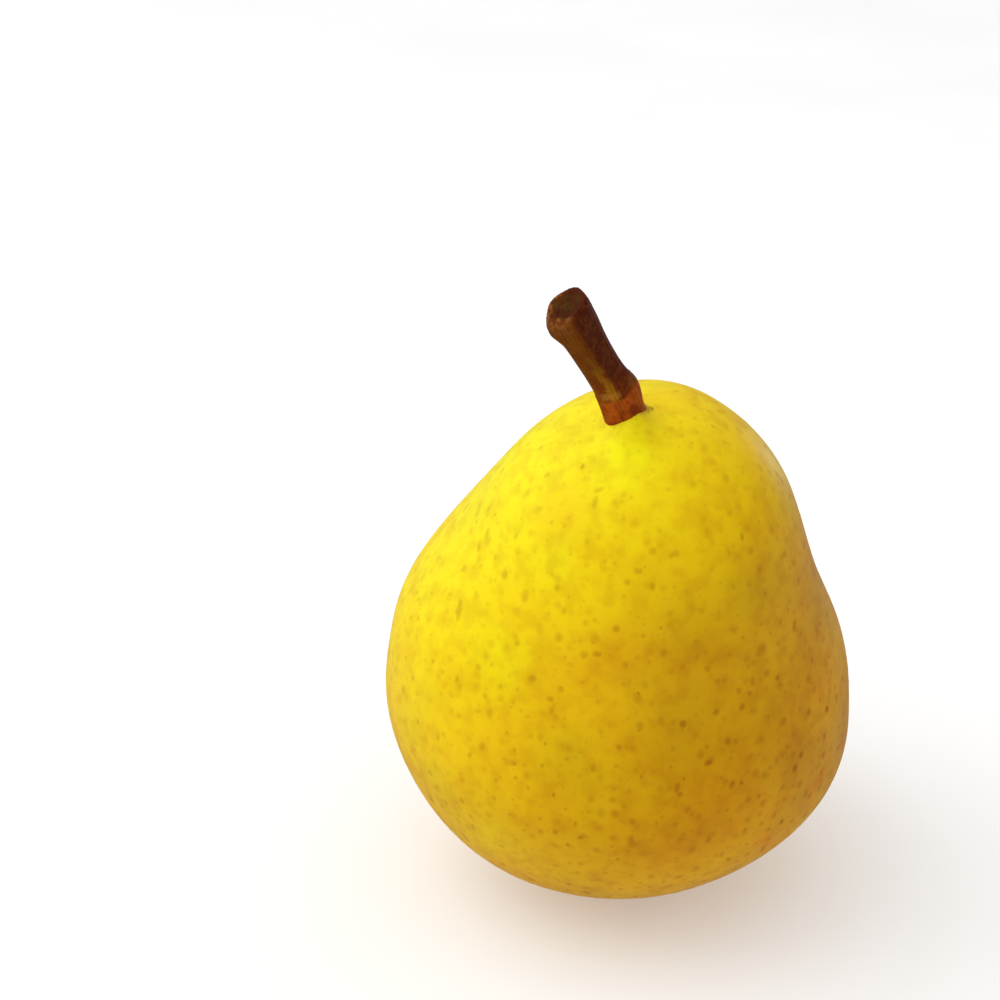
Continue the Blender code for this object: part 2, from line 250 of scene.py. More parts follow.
# Marks that stand out on the front: pixel, length and width in millimetres, turn from level in degrees, and
# strength
MARKS = {
    "long scratch": ((459, 611), 3.0, 1.15, 76.0, 0.75),
    "edge scratch": ((403, 690), 1.5, 0.7, 95.0, 0.7),
    "rub above": ((599, 490), 1.5, 0.7, 20.0, 0.55),
    "rub below": ((595, 502), 1.7, 0.8, 80.0, 0.65),
    "flank nick": ((487, 534), 1.7, 0.9, 62.0, 0.6),
    "flank nick low": ((479, 547), 1.3, 0.9, 85.0, 0.55),
    "flank fleck": ((516, 536), 1.2, 0.8, 50.0, 0.4),
    "shoulder eye": ((765, 447), 0.9, 0.75, 100.0, 1.3),
    "shoulder dot": ((547, 475), 1.0, 0.8, 0.0, 0.6),
    "valley dot": ((638, 571), 1.2, 0.9, 0.0, 0.7),
    "belly dot": ((597, 654), 1.2, 0.9, 10.0, 0.8),
    "belly dot left": ((550, 699), 1.0, 0.8, 0.0, 0.75),
    "flank dot": ((478, 667), 0.9, 0.9, 0.0, 0.55),
    "flank dot high": ((517, 643), 0.8, 0.8, 0.0, 0.55),
    "middle dot": ((619, 747), 0.9, 0.8, 0.0, 0.7),
    "rosy dot": ((512, 763), 1.1, 0.9, 0.0, 0.5),
    "right dot 1": ((683, 724), 1.1, 1.2, 0.0, 1.0),
    "right dot 2": ((708, 763), 1.2, 0.9, 10.0, 1.0),
    "right dot 3": ((728, 741), 1.0, 1.1, 0.0, 0.8),
    "right dot 4": ((732, 784), 1.3, 0.9, 75.0, 0.8),
    "right dot 5": ((677, 788), 1.6, 0.8, 82.0, 0.75),
    "right dot 6": ((716, 712), 1.1, 0.9, 60.0, 0.8),
    "right dot 7": ((742, 707), 1.1, 0.9, 80.0, 0.7),
    "edge dot 1": ((795, 768), 1.3, 1.3, 0.0, 1.0),
    "edge dot 2": ((801, 755), 1.1, 1.1, 0.0, 0.9),
    "edge dot 3": ((809, 712), 1.2, 1.1, 80.0, 0.8),
    "edge dot 4": ((827, 709), 1.2, 1.0, 0.0, 0.8),
    "rough patch": ((761, 650), 2.3, 1.5, 20.0, 0.65),
    "lower streak": ((745, 830), 1.2, 0.8, 70.0, 0.5),
    "stem tail": ((647, 408), 1.5, 1.3, 24.0, 1.1),
}

# Stem: (height above the skin, radius, shift to the left) in millimetres
STEM_STATIONS = (
    (-3.0, 2.1, 0.2),
    (-0.6, 2.8, 0.3),
    (1.5, 2.8, 0.2),
    (5.0, 2.6, 0.0),
    (9.5, 2.55, 0.1),
    (13.5, 2.65, 0.25),
    (16.5, 2.85, 0.35),
    (18.8, 3.2, 0.55),
    (20.6, 3.15, 0.5),
    (22.2, 2.6, 0.35),
)
STEM_LEAN_FRONT = math.radians(10.0)
STEM_LEAN_LEFT = math.radians(20.2)
STEM_LENGTH = 21.4 * MM
STEM_CUT_SLANT = math.radians(12.0)
STEM_HOLLOW_SHARE = 0.80
STEM_HOLLOW_DEPTH = 1.1 * MM
STEM_RIDGES = 5
STEM_RIDGE_HEIGHT = 0.12 * MM
STEM_RIDGE_TWIST = math.radians(50.0)
KNOB_HEIGHT = 4.6 * MM
KNOB_PUSH = 0.55 * MM
KNOB_REACH = 2.6 * MM
KNOB_SPREAD = math.radians(50.0)
STEM_SKIN = 0.06 * MM
STEM_ROWS = 230
STEM_SIDES = 144
STEM_BOTTOM = -2.4 * MM
LIP_ROWS = 10
LIP_RADIUS = 0.45 * MM
LIP_CUT = 0.1
HOLD_RADIUS = 1.5 * MM
SMALLEST_RING = 0.3 * MM
SLANT_FROM = 12.0 * MM
END_ROWS = 34
FIBRES = 31
FIBRE_HEIGHT = 0.035 * MM
COLLAR_TOP = 5.2 * MM
COLLAR_PUSH = 0.12 * MM
COLLAR_EDGE = 0.30 * MM
COLLAR_WAVE = 0.18
COLLAR_RIPPLE = 0.08
TIP_FROM = 15.0 * MM
TIP_LUMPS = 0.10 * MM
RIM_LUMPS = 0.16 * MM
RIM_RADIUS = 2.4 * MM

# Relief of the cut end, in millimetres; the cracks' number, and how much of the round has none
RING_MARKS = 0.030
TORN_WOOD = 0.03
CRACK_DEPTH = 0.12
CRACKS = 9
CRACK_GAP = 0.55

# Colour of the bark, painted with shade on its right side: where round the stem the painted shade starts at
# the foot, how far that drifts up its length, and its shades, each pair from the dark to the light patches
SHADE_START = 0.46
SHADE_DRIFT = -0.50
RED_BARK = ((0.140, 0.029, 0.002), (0.170, 0.043, 0.003))
OLIVE_STRIPE = (0.215, 0.092, 0.004)
SHADED_BARK = ((0.080, 0.010, 0.003), (0.120, 0.024, 0.003))
# Painted light: the lower stem is painted lighter and warmer
PAINTED_GLOW_LOW = (1.45, 1.32, 1.0)
# Painted highlight on the knob
KNOB_HIGHLIGHT = (0.24, 0.080, 0.008)
KNOB_HIGHLIGHT_SHARE = 0.6
RING_SHADE = (0.38, 0.150, 0.016)
RING_SHARE = 0.85
FOOT_BARK = ((0.22, 0.028, 0.003), (0.44, 0.084, 0.006))
FOOT_SHARE = 0.9
FLECK_SHADE = (0.25, 0.088, 0.012)
FLECK_SHARE = 0.35
FURROW_SHADE = (0.025, 0.005, 0.002)
FURROW_SHARE = 0.40
# Painted highlight on the left of the stem's top, by the lip
TIP_HIGHLIGHT = (0.29, 0.098, 0.014)
TIP_HIGHLIGHT_SHARE = 0.65
FAINTEST_TIP_HIGHLIGHT = 0.2
# Rim of the cut end: painted highlight on its left, painted shade on its right
LIT_RIM = ((0.10, 0.022, 0.003), (0.26, 0.088, 0.012))
SHADED_RIM = (0.075, 0.012, 0.003)
# The cut end is painted dark inside its rim
DARK_END_FACE = ((0.080, 0.013, 0.004), (0.085, 0.034, 0.004))
BARK_ROUGHNESS = 0.46
BARK_UNEVENNESS = 0.20
BARK_NOISE = 1400.0
BARK_GLOSS = 0.08
BARK_TINT = (1.0, 0.75, 0.45, 1.0)
BARK_DEPTH = 0.25 * MM
BARK_STRENGTH = 0.6
GRAIN_RISE = 0.6
FLECK_RISE = 0.4

# Patches, flecks and grain of the bark: size or spacing, and how they run; how far they fray its zones
BARK_MOTTLE = (2.0 * MM, 0.38, 0.64)
BARK_SPECKLE = (0.7 * MM, 0.40, 0.66)
SPECKLE_SHIFT = (0.2, 0.5, 0.1)
BARK_FLECKS = (1.0 * MM, 0.28, 0.7, 0.35)
BARK_GRAIN = (4200.0, 4.0, 0.6)
EDGE_MOTTLE = 0.16
EDGE_SPECKLE = 0.10
FOOT_MOTTLE = 0.02

# Where the bark changes, from none to full: up the stem's length, round it (1 right, -1 left), or across
# the cut end
STRIPE_LEFT = (-0.55, -0.30)
STRIPE_RIGHT = (0.10, -0.08)
STRIPE_LOW = (0.18, 0.26)
STRIPE_HIGH = (0.72, 0.30)
SHADED_SIDE = (-0.05, 0.22)
PAINTED_GLOW_UP = (0.60, 0.20)
KNOB_ROUND = (0.72, 0.92)
KNOB_UP = (0.34, 0.24)
RING_LOW = (0.235, 0.26)
RING_HIGH = (0.315, 0.285)
RING_MIDDLE = -0.15
RING_ROUND = (0.65, 0.3)
FOOT_UP = (0.255, 0.23)
LEFT_SIDE = (0.25, -0.35)
TIP_HIGHLIGHT_UP = (0.86, 0.95)
RIM_IN = (0.02, 0.10)
WOOD_IN = (0.16, 0.36)

# Calyx
BASIN_FLOOR = FRUIT_OUTLINE[0][1] * MM
CUP_OUTLINE = (
    (0.0, 0.22),
    (0.8, 0.26),
    (1.15, 0.4),
    (1.45, 1.15),
    (1.8, 1.42),
    (2.2, 1.35),
    (2.45, 0.9),
    (2.45, 0.0),
    (2.4, -0.7),
)
CUP_ROWS = 40
CUP_STEPS = 60
CUP_FOLDS = 0.05
CUP_WRINKLES = 0.03
SEPALS = 5
SEPAL_LENGTH = 3.6 * MM
SEPAL_WIDTH = 2.2 * MM
SEPAL_TIP_WIDTH = 0.25 * MM
SEPAL_THICKNESS = 0.28 * MM
SEPAL_ROOT = Vector((1.6, 0.0, 0.8)) * MM
SEPAL_RISE = math.radians(60.0)
SEPAL_CURL = math.radians(65.0)
SEPAL_CUP = 0.3 * MM
SEPAL_RAGGED = 0.10
RIB_DEPTH = 0.10 * MM
RIB_WIDTH = 0.18
VEIN_HEIGHT = 0.03 * MM
SEPAL_ROWS = 20
SEPAL_COLUMNS = 13
SEPAL_SEED = 2
STAMENS = 16
STAMEN_LENGTH = 2.0 * MM
STAMEN_THICKNESS = 0.07 * MM
STAMEN_WIDTHS = (1.0, 1.0, 1.0, 1.0, 2.2, 0.8)
STAMEN_BEND = 0.5 * MM
STAMEN_SIDES = 6
STAMEN_RING = 0.75 * MM
STAMEN_SEED = 5
DRY_SEPAL = ((0.075, 0.038, 0.015), (0.24, 0.140, 0.060))
DRY_GRIT = (0.018, 0.009, 0.006)
SEPAL_MOTTLE = (1.2 * MM, 0.35, 0.68)
SEPAL_GRIT = (0.5 * MM, 0.35, 0.6, 0.5)
SEPAL_GRAIN = (3500.0, 4.0, 0.65)
SEPAL_DEPTH = 0.3 * MM
SEPAL_STRENGTH = 0.8
SEPAL_ROUGHNESS = 0.75
SEPAL_UNEVENNESS = 0.15
GRIT_SHARE = 0.5


def spline(knots, values, places):
    """Heights of the smooth natural curve through the knots, at each place."""
    knots = np.asarray(knots, float)
    values = np.asarray(values, float)
    places = np.asarray(places, float)
    span = np.diff(knots)
    slope = np.diff(values) / span
    system = np.eye(len(knots))
    bend = np.zeros(len(knots))
    for i in range(1, len(knots) - 1):
        system[i, i - 1:i + 2] = span[i - 1], 2 * (span[i - 1] + span[i]), span[i]
        bend[i] = 6 * (slope[i] - slope[i - 1])
    bend = np.linalg.solve(system, bend)
    i = np.clip(np.searchsorted(knots, places) - 1, 0, len(span) - 1)
    before = (places - knots[i]) / span[i]
    after = 1 - before
    arch = bend[i] * (after ** 3 - after) + bend[i + 1] * (before ** 3 - before)
    return after * values[i] + before * values[i + 1] + arch * span[i] ** 2 / 6


def lengths(points):
    """How far along the line through the points each one lies."""
    return np.concatenate([[0.0], np.cumsum(np.hypot(*np.diff(points, axis=0).T))])


def smooth_outline(points, rows):
    """Evenly spaced points on a smooth curve that starts and ends square to the axis."""
    points = np.array(points)
    mirror = np.array([-1.0, 1.0])
    points = np.vstack([points[1] * mirror, points, points[-2] * mirror])
    length = lengths(points)
    places = np.linspace(length[1], length[-2], rows)
    radius = spline(length, points[:, 0], places)
    radius[0] = radius[-1] = 0.0
    return radius * MM, spline(length, points[:, 1], places) * MM


def bell(distance, reach):
    return np.exp(-(distance / reach) ** 2)


def turn_between(angle, direction):
    return (angle - direction + math.pi) % (2 * math.pi) - math.pi


def grown_skin(places):
    """Moves the points of the turned pear to where the real, lopsided one has grown."""
    x, y, z = places.T
    radius = np.hypot(x, y)
    angle = np.arctan2(y, x)
    share = z / FRUIT_HEIGHT
    fullness = np.clip(radius / FULL_RADIUS, 0.0, 1.0)
    swell = np.zeros(len(places))
    for height, direction, push, reach, spread in SWELLS:
        turn = turn_between(angle, math.radians(direction))
        swell += push * MM * bell(share - height, reach) * bell(turn, math.radians(spread))
    swell += LOBE_HEIGHT * bell(share, LOBE_REACH) * np.cos(LOBES * angle + LOBE_TURN)
    swell += UNEVENNESS * np.sin(3 * angle + 8 * share) * np.sin(11 * share + 1)
    radius = radius + swell * fullness
    swing = spline(SWING_SHARES, SWING, share) * MM
    bend = NECK_BEND_FRONT * share ** 2
    neck = np.clip((share - SHOULDER_FROM) / (1 - SHOULDER_FROM), 0.0, 1.0) ** 2
    x = radius * np.cos(angle)
    y = radius * np.sin(angle)
    rise = SHOULDER_RISE * neck * np.cos(angle - SHOULDER_DIRECTION) * fullness
    right = x + swing - SWING[-1] * MM
    back = y - bend + NECK_BEND_FRONT
    dip = DIMPLE_DEPTH * bell(np.hypot(right, back), DIMPLE_REACH)
    flesh = FLESH_RISE * bell(np.hypot(right - FLESH_RIGHT, back + FLESH_FRONT), FLESH_REACH)
    return np.stack([x + swing, y - bend, z + rise + neck * (flesh - dip)], axis=1)


def leaning(left, front):
    return Matrix.Rotation(-left, 4, "Y") @ Matrix.Rotation(front, 4, "X")


def pear_matrix():
    return Matrix.Translation(AXIS_FOOT) @ leaning(LEAN_LEFT, LEAN_FRONT)


def stem_matrix():
    foot = Vector((SWING[-1] * MM, -NECK_BEND_FRONT, FRUIT_HEIGHT - DIMPLE_DEPTH))
    return pear_matrix() @ Matrix.Translation(foot) @ leaning(STEM_LEAN_LEFT, STEM_LEAN_FRONT)


def calyx_matrix():
    floor = Matrix.Translation(Vector((0.0, 0.0, BASIN_FLOOR)))
    return pear_matrix() @ floor @ Matrix.Rotation(math.pi, 4, "X")


def linked(name, data):
    """New object in the scene, at the origin."""
    thing = bpy.data.objects.new(name, data)
    bpy.context.scene.collection.objects.link(thing)
    return thing


def mesh_object(name, places, faces, place=None):
    """Smooth mesh object at the origin, with its place in its points."""
    mesh = bpy.data.meshes.new(name)
    mesh.from_pydata(np.asarray(places).tolist(), [], faces)
    if place:
        mesh.transform(place)
    mesh.shade_smooth()
    return linked(name, mesh)


def ring_faces(rows, steps):
    """Quads between rings of points, each ring one turn round."""
    faces = []
    for row in range(rows - 1):
        low = row * steps
        for step in range(steps):
            after = (step + 1) % steps
            faces.append((low + step, low + after, low + steps + after, low + steps + step))
    return faces


def capped_faces(rows, steps):
    """Rings closed by fans to a bottom point and a top point, which come after the rings."""
    faces = ring_faces(rows, steps)
    bottom = rows * steps
    last = bottom - steps
    for step in range(steps):
        after = (step + 1) % steps
        faces.append((bottom, after, step))
        faces.append((bottom + 1, last + step, last + after))
    return faces


def closed_turned(name, radius, height, steps, reshape, place):
    """Closed solid of rings from a bottom point, up the rows, to a top point."""
    angle = np.linspace(0.0, 2 * math.pi, steps, endpoint=False)
    r, a = np.meshgrid(radius[1:-1], angle, indexing="ij")
    z = np.repeat(height[1:-1, None], steps, axis=1)
    rings = np.stack([r * np.cos(a), r * np.sin(a), z], axis=-1).reshape(-1, 3)
    ends = np.array([[0.0, 0.0, height[0]], [0.0, 0.0, height[-1]]])
    places = reshape(np.vstack([rings, ends]))
    return mesh_object(name, places, capped_faces(len(radius) - 2, steps), place)


def store(thing, name, values, kind="FLOAT", field="value"):
    layer = thing.data.attributes.new(name, kind, "POINT")
    layer.data.foreach_set(field, np.asarray(values, float).ravel())


class Nodes:
    """Places nodes in one tree and links them."""

    def __init__(self, tree):
        self.tree = tree

    def fill(self, made, **inputs):
        """Feeds a node's inputs by name, with an underscore for each space."""
        for key, value in inputs.items():
            self.feed(made.inputs[key.replace("_", " ")], value)
        return made

    def add(self, kind, settings=None, **inputs):
        made = self.tree.nodes.new(kind)
        for key, value in (settings or {}).items():
            setattr(made, key, value)
        return self.fill(made, **inputs)

    def feed(self, socket, value):
        if isinstance(value, bpy.types.NodeSocket):
            self.tree.links.new(value, socket)
        else:
            socket.default_value = value

    def math(self, operation, *values):
        made = self.add("ShaderNodeMath", {"operation": operation})
        for socket, value in zip(made.inputs, values):
            self.feed(socket, value)
        return made.outputs[0]

    def times(self, first, second):
        return self.math("MULTIPLY", first, second)

    def plus(self, first, second):
        return self.math("ADD", first, second)

    def minus(self, first, second):
        return self.math("SUBTRACT", first, second)

    def over(self, first, second):
        return self.math("DIVIDE", first, second)

    def times_plus(self, first, second, third):
        return self.math("MULTIPLY_ADD", first, second, third)

    def vector(self, operation, first, second=None, scale=None):
        made = self.add("ShaderNodeVectorMath", {"operation": operation})
        for socket, value in ((0, first), (1, second), ("Scale", scale)):
            if value is not None:
                self.feed(made.inputs[socket], value)
        return made.outputs[1 if operation in ("LENGTH", "DISTANCE", "DOT_PRODUCT") else 0]

    def split(self, vector):
        return self.add("ShaderNodeSeparateXYZ", Vector=vector).outputs

    def between(self, value, low, high, smooth=True):
        """0 below low, 1 above high."""
        kind = "SMOOTHSTEP" if smooth else "LINEAR"
        made = self.add("ShaderNodeMapRange", {"interpolation_type": kind, "clamp": True})
        return self.fill(made, Value=value, From_Min=low, From_Max=high).outputs["Result"]

    def mix(self, share, first, second, blend="MIX"):
        made = self.add("ShaderNodeMix", {"data_type": "RGBA", "blend_type": blend})
        self.feed(made.inputs[0], share)
        for socket, shade in ((6, first), (7, second)):
            self.feed(made.inputs[socket], (*shade, 1.0) if isinstance(shade, tuple) else shade)
        return made.outputs[2]

    def own(self, name):
        """Value stored on the mesh."""
        return self.add("ShaderNodeAttribute", {"attribute_name": name}).outputs["Fac"]

    def noise(self, place, scale, detail=2.0, roughness=0.5):
        made = self.add("ShaderNodeTexNoise", Vector=place, Scale=scale, Detail=detail, Roughness=roughness)
        return made.outputs["Fac"]

    def ramp(self, value, stops):
        """Colour that runs through (place, colour) stops."""
        made = self.add("ShaderNodeValToRGB", Fac=value)
        line = made.color_ramp
        while len(line.elements) < len(stops):
            line.elements.new(0.5)
        for element, (spot, shade) in zip(line.elements, stops):
            element.position = spot
            element.color = (*shade, 1.0)
        return made.outputs["Color"]


def with_sockets(tree, first, last, inputs):
    """Gives a node group its inputs and output; a number says its kind, and None stands for a material."""
    kinds = {float: "NodeSocketFloat", int: "NodeSocketInt", type(None): "NodeSocketMaterial"}
    tree.interface.new_socket(name=first[0], in_out="INPUT", socket_type=first[1])
    for label, value in inputs.items():
        kind = kinds[type(value)]
        socket = tree.interface.new_socket(name=label.replace("_", " "), in_out="INPUT", socket_type=kind)
        if value is not None:
            socket.default_value = value
    tree.interface.new_socket(name=last[0], in_out="OUTPUT", socket_type=last[1])
    start = tree.nodes.new("NodeGroupInput")
    end = tree.nodes.new("NodeGroupOutput")
    return tree, Nodes(tree), start.outputs, end.inputs


def mask_group(name, **inputs):
    """Shader node group that makes a mask from a place and numbers."""
    tree = bpy.data.node_groups.new(name, "ShaderNodeTree")
    return with_sockets(tree, ("Place", "NodeSocketVector"), ("Mask", "NodeSocketFloat"), inputs)


def geometry_tree(name, **inputs):
    tree = bpy.data.node_groups.new(name, "GeometryNodeTree")
    tree.is_modifier = True
    shape = ("Geometry", "NodeSocketGeometry")
    return with_sockets(tree, shape, shape, inputs)


def pore_group():
    """Soft round dots, scattered at a spacing, each of its own size; Share of the places have one."""
    tree, nodes, given, out = mask_group("pores", Spacing=0.002, Radius=0.3, Softness=0.5, Share=0.5)
    cells = nodes.add("ShaderNodeTexVoronoi", {"voronoi_dimensions": "3D", "feature": "F1"},
                      Vector=given["Place"], Scale=nodes.over(1.0, given["Spacing"]))
    draw = nodes.split(cells.outputs["Color"])
    own = nodes.times(given["Radius"], nodes.times_plus(draw[0], DOT_SPREAD, SMALLEST_DOT))
    inner = nodes.times(own, nodes.minus(1.0, given["Softness"]))
    dot = nodes.minus(1.0, nodes.between(cells.outputs["Distance"], inner, own))
    there = nodes.math("LESS_THAN", draw[1], given["Share"])
    strength = nodes.times_plus(draw[2], 1.0 - FAINTEST_DOT, FAINTEST_DOT)
    nodes.feed(out["Mask"], nodes.times(nodes.times(dot, there), strength))
    return tree


def blotch_group():
    """Cloudy patches of a size, from Low to High in the noise."""
    tree, nodes, given, out = mask_group("blotches", Size=0.01, Low=0.4, High=0.6, Detail=3.0)
    scale = nodes.over(1.0, given["Size"])
    cloud = nodes.add("ShaderNodeTexNoise", Vector=given["Place"], Scale=scale, Detail=given["Detail"])
    nodes.feed(out["Mask"], nodes.between(cloud.outputs["Fac"], given["Low"], given["High"]))
    return tree


def new_material(name):
    material = bpy.data.materials.new(name)
    material.use_nodes = True
    nodes = Nodes(material.node_tree)
    shader = material.node_tree.nodes["Principled BSDF"]
    place = nodes.add("ShaderNodeTexCoord").outputs["Object"]
    return material, nodes, shader, place


def ripeness_and_painted_light(nodes, place):
    """0 on the shaded lower right of the pear, 1 on its lit, sunny upper left: riper skin there, with
    painted light and painted shade on top.
    """
    from_middle = nodes.vector("SUBTRACT", place, PEAR_MIDDLE)
    along = nodes.vector("DOT_PRODUCT", from_middle, LIT_AND_SUNNY_SIDE)
    return nodes.between(along, LIT_AND_RIPE_FROM, LIT_AND_RIPE_TO, smooth=False)


def patches(nodes, blotches, place, size, low, high, detail=3.0):
    return nodes.add("ShaderNodeGroup", {"node_tree": blotches}, Place=place, Size=size, Low=low, High=high,
                     Detail=detail).outputs["Mask"]


def specks(nodes, pores, place, spacing, radius, softness, share):
    return nodes.add("ShaderNodeGroup", {"node_tree": pores}, Place=place, Spacing=spacing, Radius=radius,
                     Softness=softness, Share=share).outputs["Mask"]


def ground_colour(nodes, place, lit_and_ripe):
    """Lemon to ochre with painted light and shade, painted light from the floor that makes the skin lighter
    and yellower low down, and the named clouds, among them painted shade and a painted highlight.
    """
    # Painted shade: the ramp darkens the skin away from the lamp and lightens it towards the lamp
    base = nodes.ramp(lit_and_ripe, SKIN_AND_SHADE_RAMP)
    # Painted light from the floor: lighter, yellower skin low down
    low = nodes.between(nodes.split(place)[2], LOW_BOUNCE_FROM, LOW_BOUNCE_FULL, smooth=False)
    base = nodes.mix(nodes.times(low, LOW_BOUNCE_SHARE), base, LOW_BOUNCE_COLOUR)
    # Clouds, among them painted shade and a painted highlight
    for middle, reach, shade in CLOUDS.values():
        away = nodes.vector("DISTANCE", place, tuple(Vector(middle) * MM))
        base = nodes.mix(nodes.between(away, reach * MM, 0.0), base, shade, "MULTIPLY")
    return base


def tinted(nodes, blotches, place, base, strength, tint):
    size, low, high, share, shade, shift, detail = tint
    mask = patches(nodes, blotches, nodes.vector("ADD", place, shift), size * MM, low, high, detail)
    return nodes.mix(nodes.times(mask, nodes.times(strength, share)), base, shade, "MULTIPLY")


def russet_ring(nodes, place):
    away = nodes.vector("DISTANCE", place, tuple(stem_matrix().translation))
    wander = nodes.times_plus(nodes.noise(place, RUSSET_NOISE, 3.0), RUSSET_WANDER, -RUSSET_WANDER / 2)
    return nodes.between(nodes.plus(away, wander), RUSSET_REACH, RUSSET_REACH - RUSSET_FADE)


def skin_material(pores, blotches):
    """Waxy skin, lemon to ochre with painted light and shade, with clouds, tints, a russet ring and soft
    brown pores.
    """
    material, nodes, shader, place = new_material("ripe_skin")
    lit_and_ripe = ripeness_and_painted_light(nodes, place)
    shaded = nodes.minus(1.0, lit_and_ripe)
    base = ground_colour(nodes, place, lit_and_ripe)
    for tint in TINTS:
        base = tinted(nodes, blotches, place, base, 1.0, tint)
    base = tinted(nodes, blotches, place, base, nodes.between(shaded, ROSY_FROM, 1.0), ROSY_TINT)
    base = nodes.mix(nodes.times(russet_ring(nodes, place), RUSSET_SHARE), base, RUSSET_SHADE)

    def painted(spacing, radius, share, shift):
        spot = nodes.vector("ADD", place, shift)
        return specks(nodes, pores, spot, spacing * MM, radius, PORE_SOFTNESS, share)

    pore = painted(*PORES)
    cork = nodes.own("cork")
    deep = nodes.times_plus(shaded, 1.0 - PORES_IN_SUN, PORES_IN_SUN)
    corky = nodes.times_plus(shaded, 1.0 - CORK_IN_SUN, CORK_IN_SUN)
    corky = nodes.times(nodes.math("MINIMUM", cork, 1.0), corky)
    base = nodes.mix(nodes.times(painted(*GRAIN), GRAIN_SHARE), base, PORE_SHADE, "MULTIPLY")
    base = nodes.mix(nodes.times(pore, deep), base, PORE_SHADE, "MULTIPLY")
    base = nodes.mix(nodes.times(painted(*BROAD_PORES), deep), base, PORE_SHADE, "MULTIPLY")
    base = nodes.mix(corky, base, CORK_SHADE, "MULTIPLY")
    rough = nodes.times_plus(nodes.noise(place, WAX_NOISE, 3.0), WAX_UNEVENNESS, WAX_ROUGHNESS)
    rough = nodes.times_plus(nodes.plus(pore, cork), PORE_ROUGHNESS, rough)
    peel = nodes.times(nodes.noise(place, PEEL_NOISE, 3.0), PEEL_GRAIN)
    peel = nodes.minus(peel, nodes.times(pore, PEEL_PITS))
    bump = nodes.add("ShaderNodeBump", Strength=PEEL_STRENGTH, Distance=PEEL_DEPTH, Height=peel)
    nodes.fill(shader, Base_Color=base, Roughness=rough, Normal=bump.outputs["Normal"],
               Specular_IOR_Level=WAX_GLOSS, Specular_Tint=WAX_TINT, Subsurface_Weight=FLESH_GLOW,
               Subsurface_Radius=FLESH_GLOW_COLOUR, Subsurface_Scale=FLESH_GLOW_REACH)
    return material


def bark_colour(nodes, along, side, mottle, speckle):
    """Red-brown on the left, an olive stripe, painted shade of dark maroon on the right, a painted highlight
    on the knob, a pale ring, painted light on the lower stem and a red foot.
    """
    # Painted shade: where the dark maroon right side starts round the stem
    edge = nodes.times_plus(along, SHADE_DRIFT, SHADE_START)
    edge = nodes.times_plus(mottle, EDGE_MOTTLE, nodes.minus(side, edge))
    edge = nodes.times_plus(speckle, EDGE_SPECKLE, edge)
    stripe = nodes.times(nodes.between(edge, *STRIPE_LEFT), nodes.between(edge, *STRIPE_RIGHT))
    stretch = nodes.times(nodes.between(along, *STRIPE_LOW), nodes.between(along, *STRIPE_HIGH))
    base = nodes.mix(nodes.times(stripe, stretch), nodes.mix(mottle, *RED_BARK), OLIVE_STRIPE)
    base = nodes.mix(nodes.between(edge, *SHADED_SIDE), base, nodes.mix(speckle, *SHADED_BARK))
    # Painted light: the lower stem is lighter and warmer
    base = nodes.mix(nodes.between(along, *PAINTED_GLOW_UP), base, PAINTED_GLOW_LOW, "MULTIPLY")
    # Painted highlight on the knob
    knob = nodes.times(nodes.between(side, *KNOB_ROUND), nodes.between(along, *KNOB_UP))
    base = nodes.mix(nodes.times(knob, KNOB_HIGHLIGHT_SHARE), base, KNOB_HIGHLIGHT)
    ring = nodes.times(nodes.between(along, *RING_LOW), nodes.between(along, *RING_HIGH))
    from_middle = nodes.math("ABSOLUTE", nodes.minus(side, RING_MIDDLE))
    ring = nodes.times(ring, nodes.between(from_middle, *RING_ROUND))
    base = nodes.mix(nodes.times(ring, RING_SHARE), base, RING_SHADE)
    foot = nodes.between(nodes.times_plus(mottle, FOOT_MOTTLE, along), *FOOT_UP)
    return nodes.mix(nodes.times(foot, FOOT_SHARE), base, nodes.mix(mottle, *FOOT_BARK))


